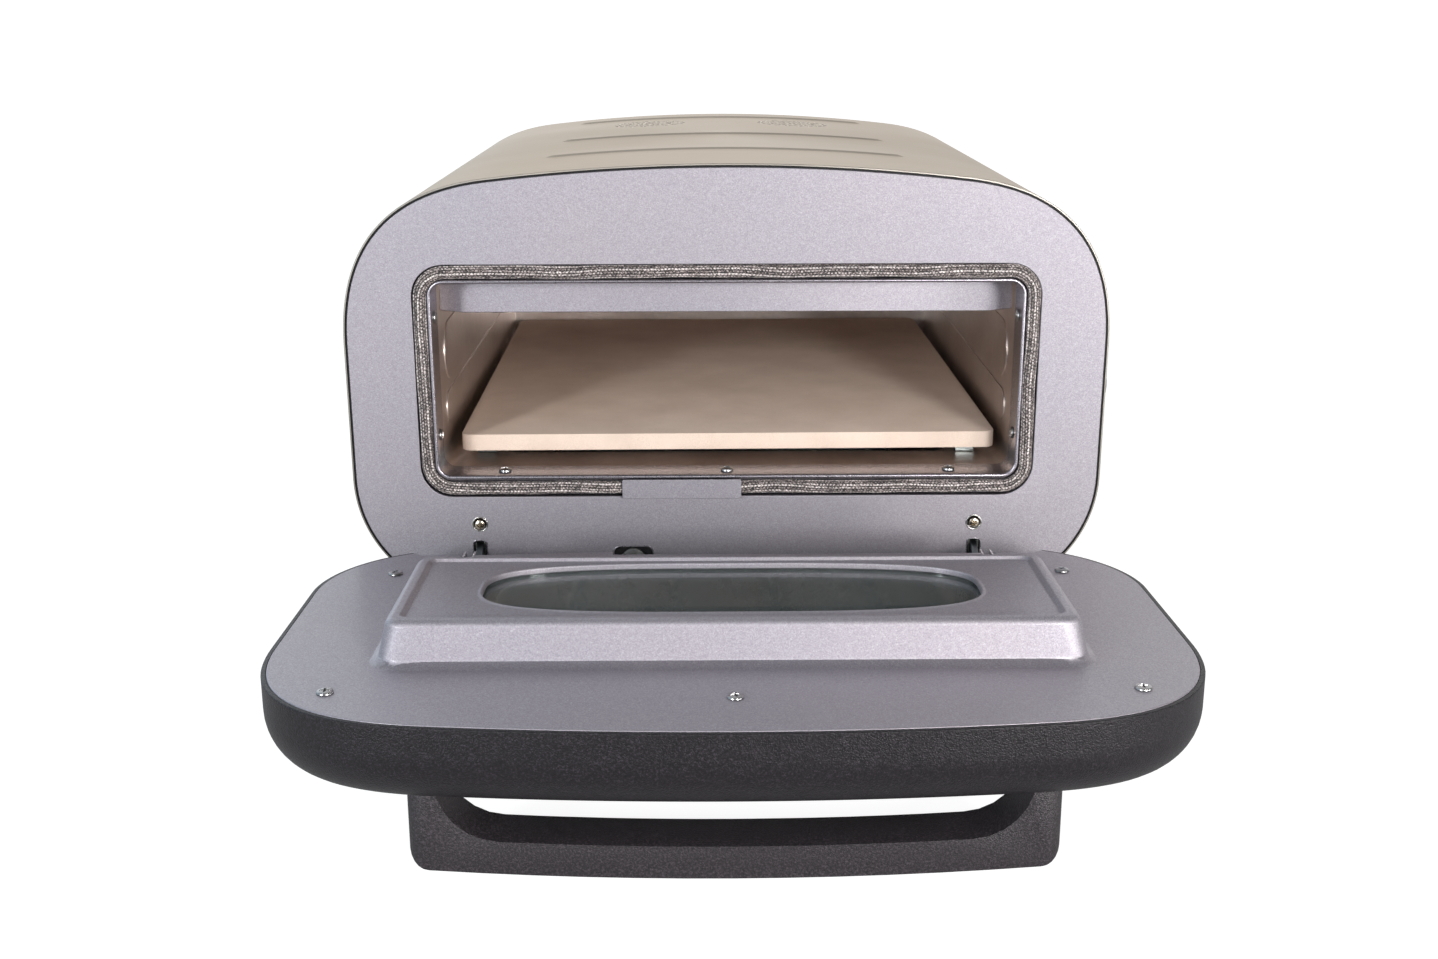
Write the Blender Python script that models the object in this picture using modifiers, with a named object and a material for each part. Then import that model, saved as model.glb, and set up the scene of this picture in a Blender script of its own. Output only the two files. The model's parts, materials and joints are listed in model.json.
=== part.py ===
"""Electric pizza oven with its drop-down door open.

Units are metres. In the oven's own space X runs to the right, Y runs away
from the viewer with the front panel's face at Y = 0, and Z runs up from
the surface that the feet stand on. The empty oven_frame then moves the
whole oven so that the middle of its box stands on the world's origin.
The door is drawn closed and turned open by the empty door_axis.
"""
from math import atan2, cos, pi, radians, sin, sqrt, tau

import bmesh
import bpy
from mathutils import Matrix, Vector

for old in list(bpy.data.objects):
    bpy.data.objects.remove(old, do_unlink=True)

# Case
case_width = 0.4666
case_bottom = 0.0430
case_height = 0.2736
case_depth = 0.4560
arch_radius = 1.2350
shoulder_radius = 0.1000
shoulder_fullness = 0.0041
floor_corner_radius = 0.0800
sheet = 0.0012
shell_sheet = 0.0009
shell_front = 0.0004
gap = 0.0003
arc_step = radians(10.0)
case_top = case_bottom + case_height
half_case = case_width / 2

# Front panel and trim
trim_face = 0.0007
trim_recess = 0.0008
trim_ledge = 0.0060
trim_thickness = 0.0030
trim_out = shell_sheet + gap
panel_inset = trim_out + trim_face + gap

# Mouth, throat and door seal
mouth_side_room = 0.0542
mouth_low_rise = 0.08235
mouth_top_room = 0.07095
mouth_corner = 0.0080
seal_channel = 0.0092
lip_width = 0.0024
lip_proud = 0.0008
channel_floor = 0.0063
channel_drop_share = 0.11
channel_grow_share = 1.09
throat_depth = 0.0215
throat_flange = 0.0080
rope_width = 0.0086
clip_width = 0.0742
clip_height = 0.0124
clip_middle_x = -0.0283
clip_thickness = 0.0006
mouth_width = case_width - 2 * mouth_side_room
mouth_low = case_bottom + mouth_low_rise
mouth_high = case_top - mouth_top_room
mouth_height = mouth_high - mouth_low
mouth_middle = (mouth_high + mouth_low) / 2

# Cavity
rear_recess = 0.0050
liner_back_room = 0.0160
pad_height = 0.0008
pad_front = 0.0480
pad_back_room = 0.0800
upper_pad_lift_share = 0.3961
upper_pad_share = 0.3159
lower_pad_lift_share = 0.1717
lower_pad_share = 0.1704
lintel_face = 0.0280
lintel_drop = 0.02265
lintel_top_room = 0.00425
lintel_bend_room = 0.0151
lintel_wing_back = 0.0080
pan_side_room = 0.0341
pan_front = 0.0600
pan_back_room = 0.0200
pan_drop = 0.0230
pan_flange = 0.0060
pan_corner = 0.0150
liner_back = case_depth - rear_recess - liner_back_room
pad_back = liner_back - pad_back_room
upper_pad_lift = mouth_height * upper_pad_lift_share
upper_pad_height = mouth_height * upper_pad_share
lower_pad_lift = mouth_height * lower_pad_lift_share
lower_pad_height = mouth_height * lower_pad_share
lintel_low = mouth_high - lintel_drop
lintel_high = mouth_high - lintel_top_room
lintel_bend_x = mouth_width / 2 - lintel_bend_room
pan_width = mouth_width - 2 * pan_side_room
pan_back = liner_back - pan_back_room

# Stone and its rails
stone_side_room = 0.0076
stone_back_room = 0.0125
stone_thickness = 0.0106
stone_lift = 0.01765
stone_front = 0.0345
stone_corner = 0.0070
stone_turn = radians(0.6)
stone_offset_x = -0.0005
rail_inset = 0.0080
rail_width = 0.0120
rail_end_room = 0.0240
stone_width = mouth_width - 2 * stone_side_room
stone_depth = liner_back - stone_front - stone_back_room
stone_top = mouth_low + stone_lift
rail_length = stone_depth - 2 * rail_end_room

# Heating elements
element_radius = 0.0033
element_side_room = 0.0621
upper_element_drop = 0.01265
upper_element_front = 0.0600
upper_bend = 0.0300
lower_element_front = 0.0950
lower_element_back_room = 0.0200
lower_bend = 0.0260
lower_element_lift = 0.0060
element_bar_y = 0.1500
element_bar_width = 0.0120
terminal_margin = 0.0100
terminal_height = 0.0160
element_run_spacing = (mouth_width - 2 * element_side_room) / 3
upper_element_z = mouth_high - upper_element_drop
lower_element_back = pan_back - lower_element_back_room

# Insulation
blanket_thickness = 0.0130
blanket_front = 0.0150

# Door
door_gap = 0.0040
door_drop = 0.0020
door_thickness_top = 0.0424
door_thickness_low = 0.0524
door_edge_in = 0.0260
door_edge_deep = 0.0280
door_low_edge_in = 0.0080
door_wall = 0.0020
door_rim_back = 0.0004
inner_inset = 0.0026
inner_sheet = 0.0010
hinge_front = 0.0464
hinge_rise = 0.0078
open_angle = radians(88.4)
door_bottom = case_bottom - door_drop
hinge_y = -hinge_front
hinge_z = door_bottom + hinge_rise

# Plug and window
plug_side_clear = 0.0031
plug_low_clear = 0.00145
plug_top_clear = 0.0080
plug_side_taper = 0.0055
plug_low_taper = 0.0020
plug_top_taper = 0.0040
plug_height = 0.0230
plug_corner = 0.0080
plug_rim = 0.0056
plug_slope = 0.0036
plug_low_rim = 0.0052
plug_low_slope = 0.0015
plug_sink = 0.0020
plug_round = 0.0016
window_side_room = 0.0415
window_low_room = 0.0113
window_high_room = 0.01615
window_power = 3.2
window_lip = 0.0012
window_sink = 0.0025
glass_thickness = 0.0040
glass_overlap = 0.0030
outer_window_share = 0.94
spacer_wall = 0.0010
plug_base_width = mouth_width - 2 * plug_side_clear
plug_base_low = mouth_low + plug_low_clear
plug_base_high = mouth_high - plug_top_clear
plug_top_width = plug_base_width - 2 * plug_side_taper
plug_top_low = plug_base_low + plug_low_taper
plug_top_high = plug_base_high - plug_top_taper
plug_middle = (plug_top_low + plug_top_high) / 2
window_half_x = plug_top_width / 2 - window_side_room
window_low = plug_top_low + window_low_room
window_high = plug_top_high - window_high_room
window_half_z = (window_high - window_low) / 2
window_middle = (window_high + window_low) / 2

# Handle
handle_side_room = 0.0783
handle_top_room = 0.0330
handle_height = 0.0284
handle_reach = 0.0893
handle_bar_depth = 0.0168
handle_corner = 0.0110
handle_inner_corner = 0.0310
handle_post = 0.0140
handle_bow = 0.0061
handle_end_round = 0.0090
handle_edge_round = 0.0012
handle_width = case_width - 2 * handle_side_room
handle_top = case_top - handle_top_room

# Door hinges
arm_side_room = 0.0773
arm_thickness = 0.0040
arm_root_rise = 0.0130
arm_root_height = 0.0240
arm_root_back = 0.0300
arm_eye = 0.0058
slot_width = 0.0080
slot_rise = 0.0080
slot_height = 0.0313
notch_rise = 0.0157
notch_step = 0.0060
notch_step_near_x = 0.0690
notch_step_far_x = 0.1510
notch_side_room = 0.0494
notch_lean_share = 0.90
notch_depth = 0.0120
pin_radius = 0.0025
pin_length = 0.0076
cheek_thickness = 0.0012
cheek_height = 0.0340
cheek_eye = 0.0045
receiver_depth = 0.0400
receiver_height = 0.0360
arm_x = half_case - arm_side_room
arm_root_low = case_bottom + arm_root_rise
arm_root_high = arm_root_low + arm_root_height
slot_low = case_bottom + slot_rise
slot_high = slot_low + slot_height

# Screws
screw_head = 0.0045
screw_head_height = 0.0014
screw_shank = 0.0015
screw_length = 0.0060
hinge_screw_in = 0.0005
hinge_screw_rise = 0.0112
door_screw_side_room = 0.0411
door_screw_low_rise = 0.0506
door_screw_high_room = 0.0486
door_screw_mid_room = 0.0405
liner_screw_y = 0.0100
liner_screw_low_rise = 0.02385
liner_screw_high_room = 0.02215
liner_screw_side_room = 0.0396
liner_screw_head = 0.0034
liner_screw_shank = 0.0012
hinge_screw_x = arm_x - hinge_screw_in
hinge_screw_z = slot_high + hinge_screw_rise
door_screw_x = half_case - door_screw_side_room
door_screw_low = door_bottom + door_screw_low_rise
door_screw_high = case_top - door_screw_high_room
door_screw_mid = case_top - door_screw_mid_room
liner_screw_low = mouth_low + liner_screw_low_rise
liner_screw_high = mouth_high - liner_screw_high_room
liner_screw_x = mouth_width / 2 - liner_screw_side_room

# Door switch
switch_x = -0.0593
switch_rise = 0.0260
switch_width = 0.0244
switch_height = 0.0180
switch_corner = 0.0040
switch_depth = 0.0300
button_radius = 0.0078
button_proud = 0.0015
button_length = 0.0180
button_dome = 0.0016
button_travel_room = 0.0050
switch_z = case_bottom + switch_rise

# Shell top
vent_x = 0.0570
vent_back_room = 0.1030
vent_hole = 0.0025
vent_ring_step = 0.0086
vent_rings = 4
rib_side_room = 0.1183
rib_width = 0.0080
rib_height = 0.0010
rib_place_shares = (0.2325, 0.5110, 0.9013)
rib_half_length = half_case - rib_side_room
vent_y = case_depth - vent_back_room

# Rear, bottom and feet
rear_slot_length = 0.0340
rear_slot_width = 0.0035
rear_slot_pitch = 0.0130
rear_slot_count = 11
rear_slot_top_room = 0.0616
rear_slot_low_rise = 0.0670
inlet_side_room = 0.0983
inlet_rise = 0.0470
inlet_width = 0.0300
inlet_height = 0.0220
inlet_flange = 0.0040
inlet_depth = 0.0220
inlet_proud = 0.0040
bottom_corner = 0.0030
foot_side_room = 0.1153
foot_front = 0.0550
foot_back_room = 0.0560
foot_top_radius = 0.0160
foot_low_radius = 0.0120
foot_pad_height = 0.0060
inlet_x = half_case - inlet_side_room
inlet_z = case_bottom + inlet_rise
foot_x = half_case - foot_side_room
foot_rear = case_depth - foot_back_room

# Controls on the right side
control_front = 0.0490
control_length = 0.1500
control_rise_share = 0.3107
control_height_share = 0.2851
control_plate = 0.0016
control_corner = 0.0080
knob_radius = 0.0140
knob_height = 0.0170
knob_skirt = 0.0030
knob_front_room = 0.0350
knob_low_room = 0.0360
knob_spread = 0.0800
shaft_radius = 0.0030
control_body_width = 0.0260
control_body_depth = 0.0200
lamp_radius = 0.0040
lamp_top_room = 0.0080
lamp_length = 0.0100
control_low = case_bottom + case_height * control_rise_share
control_high = control_low + case_height * control_height_share
knob_near_y = control_front + knob_front_room
knob_far_y = knob_near_y + knob_spread
knob_z = control_low + knob_low_room
lamp_z = control_high - lamp_top_room

tiny = 0.00001
cut_over = 0.0040

parts = bpy.data.collections.new("pizza_oven")
cutters = bpy.data.collections.new("cutters")
bpy.context.scene.collection.children.link(parts)
bpy.context.scene.collection.children.link(cutters)


def material(name, colour, rough, metal):
    """A Principled material with one colour."""
    mat = bpy.data.materials.new(name)
    mat.use_nodes = True
    shader = mat.node_tree.nodes["Principled BSDF"]
    shader.inputs["Base Color"].default_value = (*colour, 1.0)
    shader.inputs["Roughness"].default_value = rough
    shader.inputs["Metallic"].default_value = metal
    mat.diffuse_color = (*colour, 1.0)
    return mat


silver = ((0.46, 0.43, 0.48), 0.36, 0.9)
brushed = ((0.44, 0.42, 0.38), 0.34, 0.9)
steel = ((0.50, 0.50, 0.50), 0.30, 1.0)
black = ((0.045, 0.040, 0.045), 0.55, 0.0)
cavity_grey = ((0.22, 0.19, 0.17), 0.40, 0.8)
rope_grey = ((0.24, 0.22, 0.20), 0.95, 0.0)
cordierite = ((0.72, 0.60, 0.48), 0.90, 0.0)
glass = ((0.08, 0.10, 0.10), 0.08, 0.0)
wool = ((0.75, 0.72, 0.62), 0.95, 0.0)
rubber = ((0.03, 0.03, 0.03), 0.80, 0.0)
screw_metal = ((0.55, 0.50, 0.40), 0.35, 1.0)
red_lens = ((0.60, 0.05, 0.03), 0.20, 0.0)


# Outlines, as lists of (x, z) points that run anticlockwise
def arc(cx, cz, radius, start, end, steps=None):
    """Points on a circle from one angle to the other, ends included."""
    steps = steps or max(2, round(abs(end - start) / arc_step))
    turn = (end - start) / steps
    return [(cx + radius * cos(start + turn * i), cz + radius * sin(start + turn * i))
            for i in range(steps + 1)]


def arched(inset=0.0, low=case_bottom):
    """The case's outline seen from the front, drawn in by an inset."""
    half = half_case - inset
    top = case_top - inset
    bottom = low + inset
    big = arch_radius - inset
    shoulder = shoulder_radius - inset
    corner = floor_corner_radius - inset
    arch_z = top - big
    shoulder_x = half - shoulder
    shoulder_z = arch_z + sqrt((big - shoulder) ** 2 - shoulder_x ** 2)
    meet = atan2(shoulder_z - arch_z, shoulder_x)
    right = arc(half - corner, bottom + corner, corner, -pi / 2, 0.0)
    steps = 9
    for i in range(steps + 1):
        swell = shoulder + shoulder_fullness * sin(pi * i / steps) ** 2
        right.append((shoulder_x + swell * cos(meet * i / steps),
                      shoulder_z + swell * sin(meet * i / steps)))
    steps = 7
    right += [(big * cos(meet + (pi / 2 - meet) * i / steps),
               arch_z + big * sin(meet + (pi / 2 - meet) * i / steps))
              for i in range(1, steps + 1)]
    left = [(-x, z) for x, z in reversed(right[:-1])]
    return right + left


def rounded(width, height, radius, cx=0.0, cz=0.0, steps=6):
    """A rectangle with round corners."""
    x = width / 2 - radius
    z = height / 2 - radius
    points = arc(cx + x, cz - z, radius, -pi / 2, 0.0, steps)
    points += arc(cx + x, cz + z, radius, 0.0, pi / 2, steps)
    points += arc(cx - x, cz + z, radius, pi / 2, pi, steps)
    points += arc(cx - x, cz - z, radius, pi, 3 * pi / 2, steps)
    return points


def circle(cx, cz, radius, sides=16):
    return [(cx + radius * cos(tau * i / sides), cz + radius * sin(tau * i / sides))
            for i in range(sides)]


def oval(scale=1.0, grow=0.0, sides=48):
    """The window's long rounded outline."""
    points = []
    for i in range(sides):
        c = cos(tau * i / sides)
        s = sin(tau * i / sides)
        x = (window_half_x * scale + grow) * abs(c) ** (2 / window_power)
        z = (window_half_z * scale + grow) * abs(s) ** (2 / window_power)
        points.append((x if c > 0 else -x, window_middle + (z if s > 0 else -z)))
    return points


def mouth(out):
    """The oven mouth's outline, grown outwards; the seal's channel sits low."""
    return rounded(mouth_width + 2 * out, mouth_height + 2 * out * channel_grow_share,
                   mouth_corner + out, 0.0, mouth_middle - out * channel_drop_share)


def along(outline, direction):
    """Where a ray from the plug's middle meets an outline around it."""
    for (ax, az), (bx, bz) in zip(outline, outline[1:] + outline[:1]):
        az -= plug_middle
        bz -= plug_middle
        dx, dz = direction
        across_a = ax * dz - az * dx
        across_b = bx * dz - bz * dx
        if across_a * across_b <= 0 and across_a != across_b:
            part = across_a / (across_a - across_b)
            x = ax + (bx - ax) * part
            z = az + (bz - az) * part
            if x * dx + z * dz > 0:
                return (x, z + plug_middle)
    raise ValueError("an outline doesn't go round the plug's middle")


# Objects
def finish(obj, look, group=parts):
    """Names the material after the piece and files the object."""
    colour, rough, metal = look
    obj.data.materials.append(material(obj.name, colour, rough, metal))
    group.objects.link(obj)
    obj.parent = oven_frame
    return obj


def mesh_object(name, look, verts, faces, smooth=True):
    data = bpy.data.meshes.new(name)
    data.from_pydata(verts, [], faces)
    data.validate()
    shaped = bmesh.new()
    shaped.from_mesh(data)
    bmesh.ops.recalc_face_normals(shaped, faces=shaped.faces)
    shaped.to_mesh(data)
    shaped.free()
    if smooth:
        data.shade_smooth()
        data.set_sharp_from_angle(angle=radians(30))
    return finish(bpy.data.objects.new(name, data), look)


def loft(name, look, rings, capped=True):
    """Joins rings of equally many points; a ring-shaped piece has no caps."""
    count = len(rings[0])
    verts = [point for ring in rings for point in ring]
    faces = []
    spans = len(rings) - 1 if capped else len(rings)
    for r in range(spans):
        here = r * count
        there = (r + 1) % len(rings) * count
        for i in range(count):
            j = (i + 1) % count
            faces.append((here + i, here + j, there + j, there + i))
    if capped:
        faces.append(tuple(reversed(range(count))))
        last = (len(rings) - 1) * count
        faces.append(tuple(range(last, last + count)))
    return mesh_object(name, look, verts, faces)


def at_y(outline, y):
    return [(x, y, z) for x, z in outline]


def plate(name, look, outlines, y, thickness):
    """A flat piece across Y, from its outline and its holes."""
    curve = bpy.data.curves.new(name, "CURVE")
    curve.dimensions = "2D"
    curve.fill_mode = "BOTH"
    curve.extrude = thickness / 2
    for outline in outlines:
        spline = curve.splines.new("POLY")
        spline.points.add(len(outline) - 1)
        for point, (x, z) in zip(spline.points, outline):
            point.co = (x, z, 0.0, 1.0)
        spline.use_cyclic_u = True
    obj = finish(bpy.data.objects.new(name, curve), look)
    obj.rotation_euler = (pi / 2, 0.0, 0.0)
    obj.location = (0.0, y + thickness / 2, 0.0)
    return obj


def side_plate(name, look, outlines, x, thickness):
    """A flat piece across X; its outlines are (y, z) points."""
    obj = plate(name, look, outlines, 0.0, thickness)
    obj.rotation_euler = (pi / 2, 0.0, pi / 2)
    obj.location = (x, 0.0, 0.0)
    return obj


def level_plate(name, look, outlines, z, thickness):
    """A flat piece across Z; its outlines are (x, y) points."""
    obj = plate(name, look, outlines, 0.0, thickness)
    obj.rotation_euler = (0.0, 0.0, 0.0)
    obj.location = (0.0, 0.0, z + thickness / 2)
    return obj


def tube(name, look, points, radius):
    """A bent rod or heating tube along its points."""
    curve = bpy.data.curves.new(name, "CURVE")
    curve.dimensions = "3D"
    curve.bevel_depth = radius
    curve.bevel_resolution = 2
    curve.use_fill_caps = True
    spline = curve.splines.new("POLY")
    spline.points.add(len(points) - 1)
    for point, place in zip(spline.points, points):
        point.co = (*place, 1.0)
    return finish(bpy.data.objects.new(name, curve), look)


def as_mesh(obj):
    """Swaps a curve object for the mesh that it makes."""
    bpy.context.view_layer.update()
    seen = obj.evaluated_get(bpy.context.evaluated_depsgraph_get())
    data = bpy.data.meshes.new_from_object(seen)
    welded = bmesh.new()
    welded.from_mesh(data)
    bmesh.ops.remove_doubles(welded, verts=welded.verts, dist=tiny)
    welded.to_mesh(data)
    welded.free()
    name = obj.name
    solid = bpy.data.objects.new(name, data)
    solid.parent = obj.parent
    solid.matrix_world = obj.matrix_world
    group = obj.users_collection[0]
    bpy.data.objects.remove(obj, do_unlink=True)
    solid.name = name
    group.objects.link(solid)
    return solid


def box(name, look, low, high, round_by=0.0):
    shaped = bmesh.new()
    bmesh.ops.create_cube(shaped, size=1.0)
    size = [b - a for a, b in zip(low, high)]
    bmesh.ops.scale(shaped, vec=size, verts=shaped.verts)
    data = bpy.data.meshes.new(name)
    shaped.to_mesh(data)
    shaped.free()
    obj = finish(bpy.data.objects.new(name, data), look)
    obj.location = [(a + b) / 2 for a, b in zip(low, high)]
    if round_by:
        bevel(obj, round_by)
    return obj


def cylinder(name, look, place, radius, length, axis, sides=24, tip=None):
    """A round bar centred on a place; with a tip it narrows along the axis."""
    shaped = bmesh.new()
    bmesh.ops.create_cone(shaped, cap_ends=True, segments=sides, radius1=radius,
                          radius2=radius if tip is None else tip, depth=length)
    data = bpy.data.meshes.new(name)
    shaped.to_mesh(data)
    shaped.free()
    data.shade_smooth()
    data.set_sharp_from_angle(angle=radians(40))
    obj = finish(bpy.data.objects.new(name, data), look)
    obj.rotation_mode = "QUATERNION"
    obj.rotation_quaternion = Vector(axis).to_track_quat("Z", "Y")
    obj.location = place
    return obj


def turned(name, look, place, axis, profile, sides=24):
    """A turned piece: the profile's (radius, height) points run from the top down."""
    data = bpy.data.meshes.new(name)
    edges = [(i, i + 1) for i in range(len(profile) - 1)]
    data.from_pydata([(radius, 0.0, height) for radius, height in profile], edges, [])
    obj = finish(bpy.data.objects.new(name, data), look)
    screw = obj.modifiers.new("turn", "SCREW")
    screw.steps = sides
    screw.render_steps = sides
    screw.use_merge_vertices = True
    screw.merge_threshold = tiny
    screw.use_smooth_shade = True
    obj.rotation_mode = "QUATERNION"
    obj.rotation_quaternion = Vector(axis).to_track_quat("Z", "Y")
    obj.location = place
    return obj


def bevel(obj, width, segments=2):
    step = obj.modifiers.new("bevel", "BEVEL")
    step.width = width
    step.segments = segments
    step.limit_method = "ANGLE"
    step.angle_limit = radians(40)


def cutter(obj):
    """Turns an object into a guide that only shapes others."""
    for group in obj.users_collection:
        group.objects.unlink(obj)
    cutters.objects.link(obj)
    obj.hide_render = True
    obj.display_type = "WIRE"
    return obj


def combine(target, tool, operation="DIFFERENCE"):
    step = target.modifiers.new("shape", "BOOLEAN")
    step.operation = operation
    step.solver = "EXACT"
    step.object = cutter(tool)


def drills(name, holes, radius, depth, sides=12):
    """One cutter for many round holes, each a place and the way it points."""
    shaped = bmesh.new()
    for place, axis in holes:
        turn = Vector(axis).to_track_quat("Z", "Y").to_matrix().to_4x4()
        bmesh.ops.create_cone(shaped, cap_ends=True, segments=sides, radius1=radius,
                              radius2=radius, depth=depth, matrix=Matrix.Translation(place) @ turn)
    data = bpy.data.meshes.new(name)
    shaped.to_mesh(data)
    shaped.free()
    return finish(bpy.data.objects.new(name, data), steel)


def empty(name, place, holder=None):
    obj = bpy.data.objects.new(name, None)
    bpy.context.scene.collection.objects.link(obj)
    obj.location = place
    obj.parent = holder
    obj.empty_display_size = knob_radius
    return obj


# The oven's place in the world: the middle of its box stands on the origin
open_reach = case_top - hinge_z
free_end_y = hinge_y - open_reach * sin(open_angle)
rear_skin_y = case_depth - rear_recess + sheet + gap
rear_end_y = rear_skin_y + inlet_proud
right_end_x = half_case + control_plate + knob_height + 2 * gap
oven_frame = empty("oven_frame", ((half_case - right_end_x) / 2,
                                  -(free_end_y + rear_end_y) / 2, 0.0))
door_axis = empty("door_axis", (0.0, hinge_y, hinge_z), oven_frame)
door_axis.rotation_euler = (open_angle, 0.0, 0.0)


def on_door(obj):
    """Hangs a piece that is drawn closed on the door's axis."""
    obj.parent = door_axis
    obj.matrix_parent_inverse = Matrix.Translation((0.0, -hinge_y, -hinge_z))
    return obj


def screw(name, place, axis, head=screw_head, shank=screw_shank, length=screw_length):
    """A round-headed screw whose head's underside is at its place."""
    crown = head * cos(pi / 4)
    profile = [(0.0, screw_head_height), (crown, screw_head_height), (head, screw_head_height / 2),
               (head, 0.0), (shank, 0.0), (shank, -length), (0.0, -length)]
    return turned(name, screw_metal, place, axis, profile, sides=10)


# Case
def build_shell():
    outer = arched()
    inner = arched(shell_sheet)
    length = case_depth - shell_front
    shell = as_mesh(plate("outer_shell", brushed, [outer + inner[::-1]], shell_front, length))
    arch_z = case_top - arch_radius
    lean = rib_half_length / arch_radius
    for i, share in enumerate(rib_place_shares):
        y = case_depth * share
        steps = 10
        turns = [pi / 2 - lean + 2 * lean * k / steps for k in range(steps + 1)]
        swell = [rib_height * sin(pi * k / steps) ** 0.5 for k in range(steps + 1)]
        crest = [((arch_radius + s) * cos(t), arch_z + (arch_radius + s) * sin(t))
                 for s, t in zip(swell, turns)]
        sunk = arch_radius - shell_sheet / 2
        under = [(sunk * cos(t), arch_z + sunk * sin(t)) for t in turns]
        rib = as_mesh(plate(f"rib_{i}", brushed, [crest + under[::-1]],
                            y - rib_width / 2, rib_width))
        combine(shell, rib, "UNION")
    holes = []
    for side in (-1, 1):
        for ring in range(vent_rings):
            count = 6 * ring or 1
            reach = ring * vent_ring_step
            holes += [((side * vent_x + reach * cos(tau * k / count),
                        vent_y + reach * sin(tau * k / count), case_top), (0.0, 0.0, 1.0))
                      for k in range(count)]
    combine(shell, drills("vent_drill", holes, vent_hole, 2 * cut_over, sides=6))


def build_front():
    seal_width = lip_width + seal_channel
    face = [arched(panel_inset), mouth(seal_width)]
    for side in (-1, 1):
        face.append(rounded(slot_width, slot_high - slot_low, slot_width / 4,
                            side * arm_x, (slot_low + slot_high) / 2))
        face.append(circle(side * hinge_screw_x, hinge_screw_z, screw_shank + gap))
    face.append(rounded(switch_width, switch_height, switch_corner, switch_x, switch_z))
    plate("front_panel", silver, face, 0.0, sheet)
    ledge_y = sheet + gap
    front_y = shell_front + trim_recess
    back_y = ledge_y + trim_thickness
    profile = [(trim_out, front_y), (trim_out + trim_face, front_y),
               (trim_out + trim_face, ledge_y), (trim_ledge, ledge_y),
               (trim_ledge, back_y), (trim_out, back_y)]
    loft("case_trim", black, [at_y(arched(inset), y) for inset, y in profile], capped=False)
    back = sheet + gap
    wall_out = seal_width + sheet
    crest = lip_width / 2
    sweep = [(0.0, throat_depth), (0.0, crest - lip_proud), (lip_width / 4, -lip_proud * 3 / 4),
             (crest, -lip_proud), (lip_width * 3 / 4, -lip_proud * 3 / 4),
             (lip_width, crest - lip_proud), (lip_width, channel_floor),
             (seal_width, channel_floor), (seal_width, back),
             (wall_out + throat_flange, back), (wall_out + throat_flange, back + sheet),
             (wall_out, back + sheet), (wall_out, channel_floor + sheet),
             (sheet, channel_floor + sheet), (sheet, throat_depth)]
    loft("oven_throat", silver, [at_y(mouth(out), y) for out, y in sweep], capped=False)


def build_seal():
    rope_radius = rope_width / 2
    middle_out = lip_width + seal_channel / 2
    middle_y = channel_floor - gap - rope_radius
    turns = [tau * k / 10 for k in range(10)]
    loft("door_gasket", rope_grey,
         [at_y(mouth(middle_out + rope_radius * cos(t)), middle_y + rope_radius * sin(t))
          for t in turns], capped=False)
    front = middle_y - rope_radius - gap
    low_z = mouth_middle - mouth_height / 2 - middle_out * (channel_grow_share + channel_drop_share)
    plate("gasket_clip", silver,
          [rounded(clip_width, clip_height, clip_thickness * 2, clip_middle_x, low_z)],
          front - clip_thickness, clip_thickness)


def build_liner():
    out = sheet + gap
    y_front = channel_floor + sheet + gap
    inner = mouth(out)
    outer = mouth(out + sheet)
    rings = [at_y(outer, liner_back), at_y(outer, y_front), at_y(inner, y_front),
             at_y(inner, liner_back - sheet)]
    liner = loft("cavity_liner", cavity_grey, rings)
    half = mouth_width / 2 + out
    for side in (-1, 1):
        for level, lift, height in (("upper", upper_pad_lift, upper_pad_height),
                                    ("lower", lower_pad_lift, lower_pad_height)):
            pad = rounded(pad_back - pad_front, height, height / 2 - tiny,
                          (pad_front + pad_back) / 2, mouth_low + lift + height / 2)
            thick = pad_height + sheet / 2
            tool = as_mesh(side_plate(f"pad_{level}_{side}", cavity_grey, [pad],
                                      side * (half + sheet / 2 - thick / 2), thick))
            combine(liner, tool, "UNION")
    hole_x = pan_width / 2
    floor_z = min(z for _, z in inner)
    tool = box("pan_hole", steel, (-hole_x, pan_front, floor_z - cut_over),
               (hole_x, pan_back, floor_z + sheet / 2))
    combine(liner, tool)
    return floor_z


def build_pan(floor_z):
    wide = pan_width - 2 * gap
    long = pan_back - pan_front - 2 * gap
    middle = (pan_front + pan_back) / 2
    top = floor_z - channel_grow_share * sheet - channel_drop_share * sheet - gap

    def ring(grow, z):
        return [(x, y, z) for x, y in rounded(wide + grow, long + grow, pan_corner, 0.0, middle)]
    rings = [ring(0.0, top - pan_drop), ring(0.0, top - sheet), ring(pan_flange, top - sheet),
             ring(pan_flange, top), ring(-2 * sheet, top), ring(-2 * sheet, top - pan_drop + sheet)]
    loft("heater_pan", cavity_grey, rings)
    return top - pan_drop + sheet


def build_lintel():
    half = mouth_width / 2 + sheet - pad_height
    front = [(half, lintel_face + lintel_wing_back), (lintel_bend_x, lintel_face),
             (-lintel_bend_x, lintel_face), (-half, lintel_face + lintel_wing_back)]
    back = [(x, y + sheet) for x, y in reversed(front)]
    level_plate("lintel_baffle", silver, [front + back], lintel_low, lintel_high - lintel_low)


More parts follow.
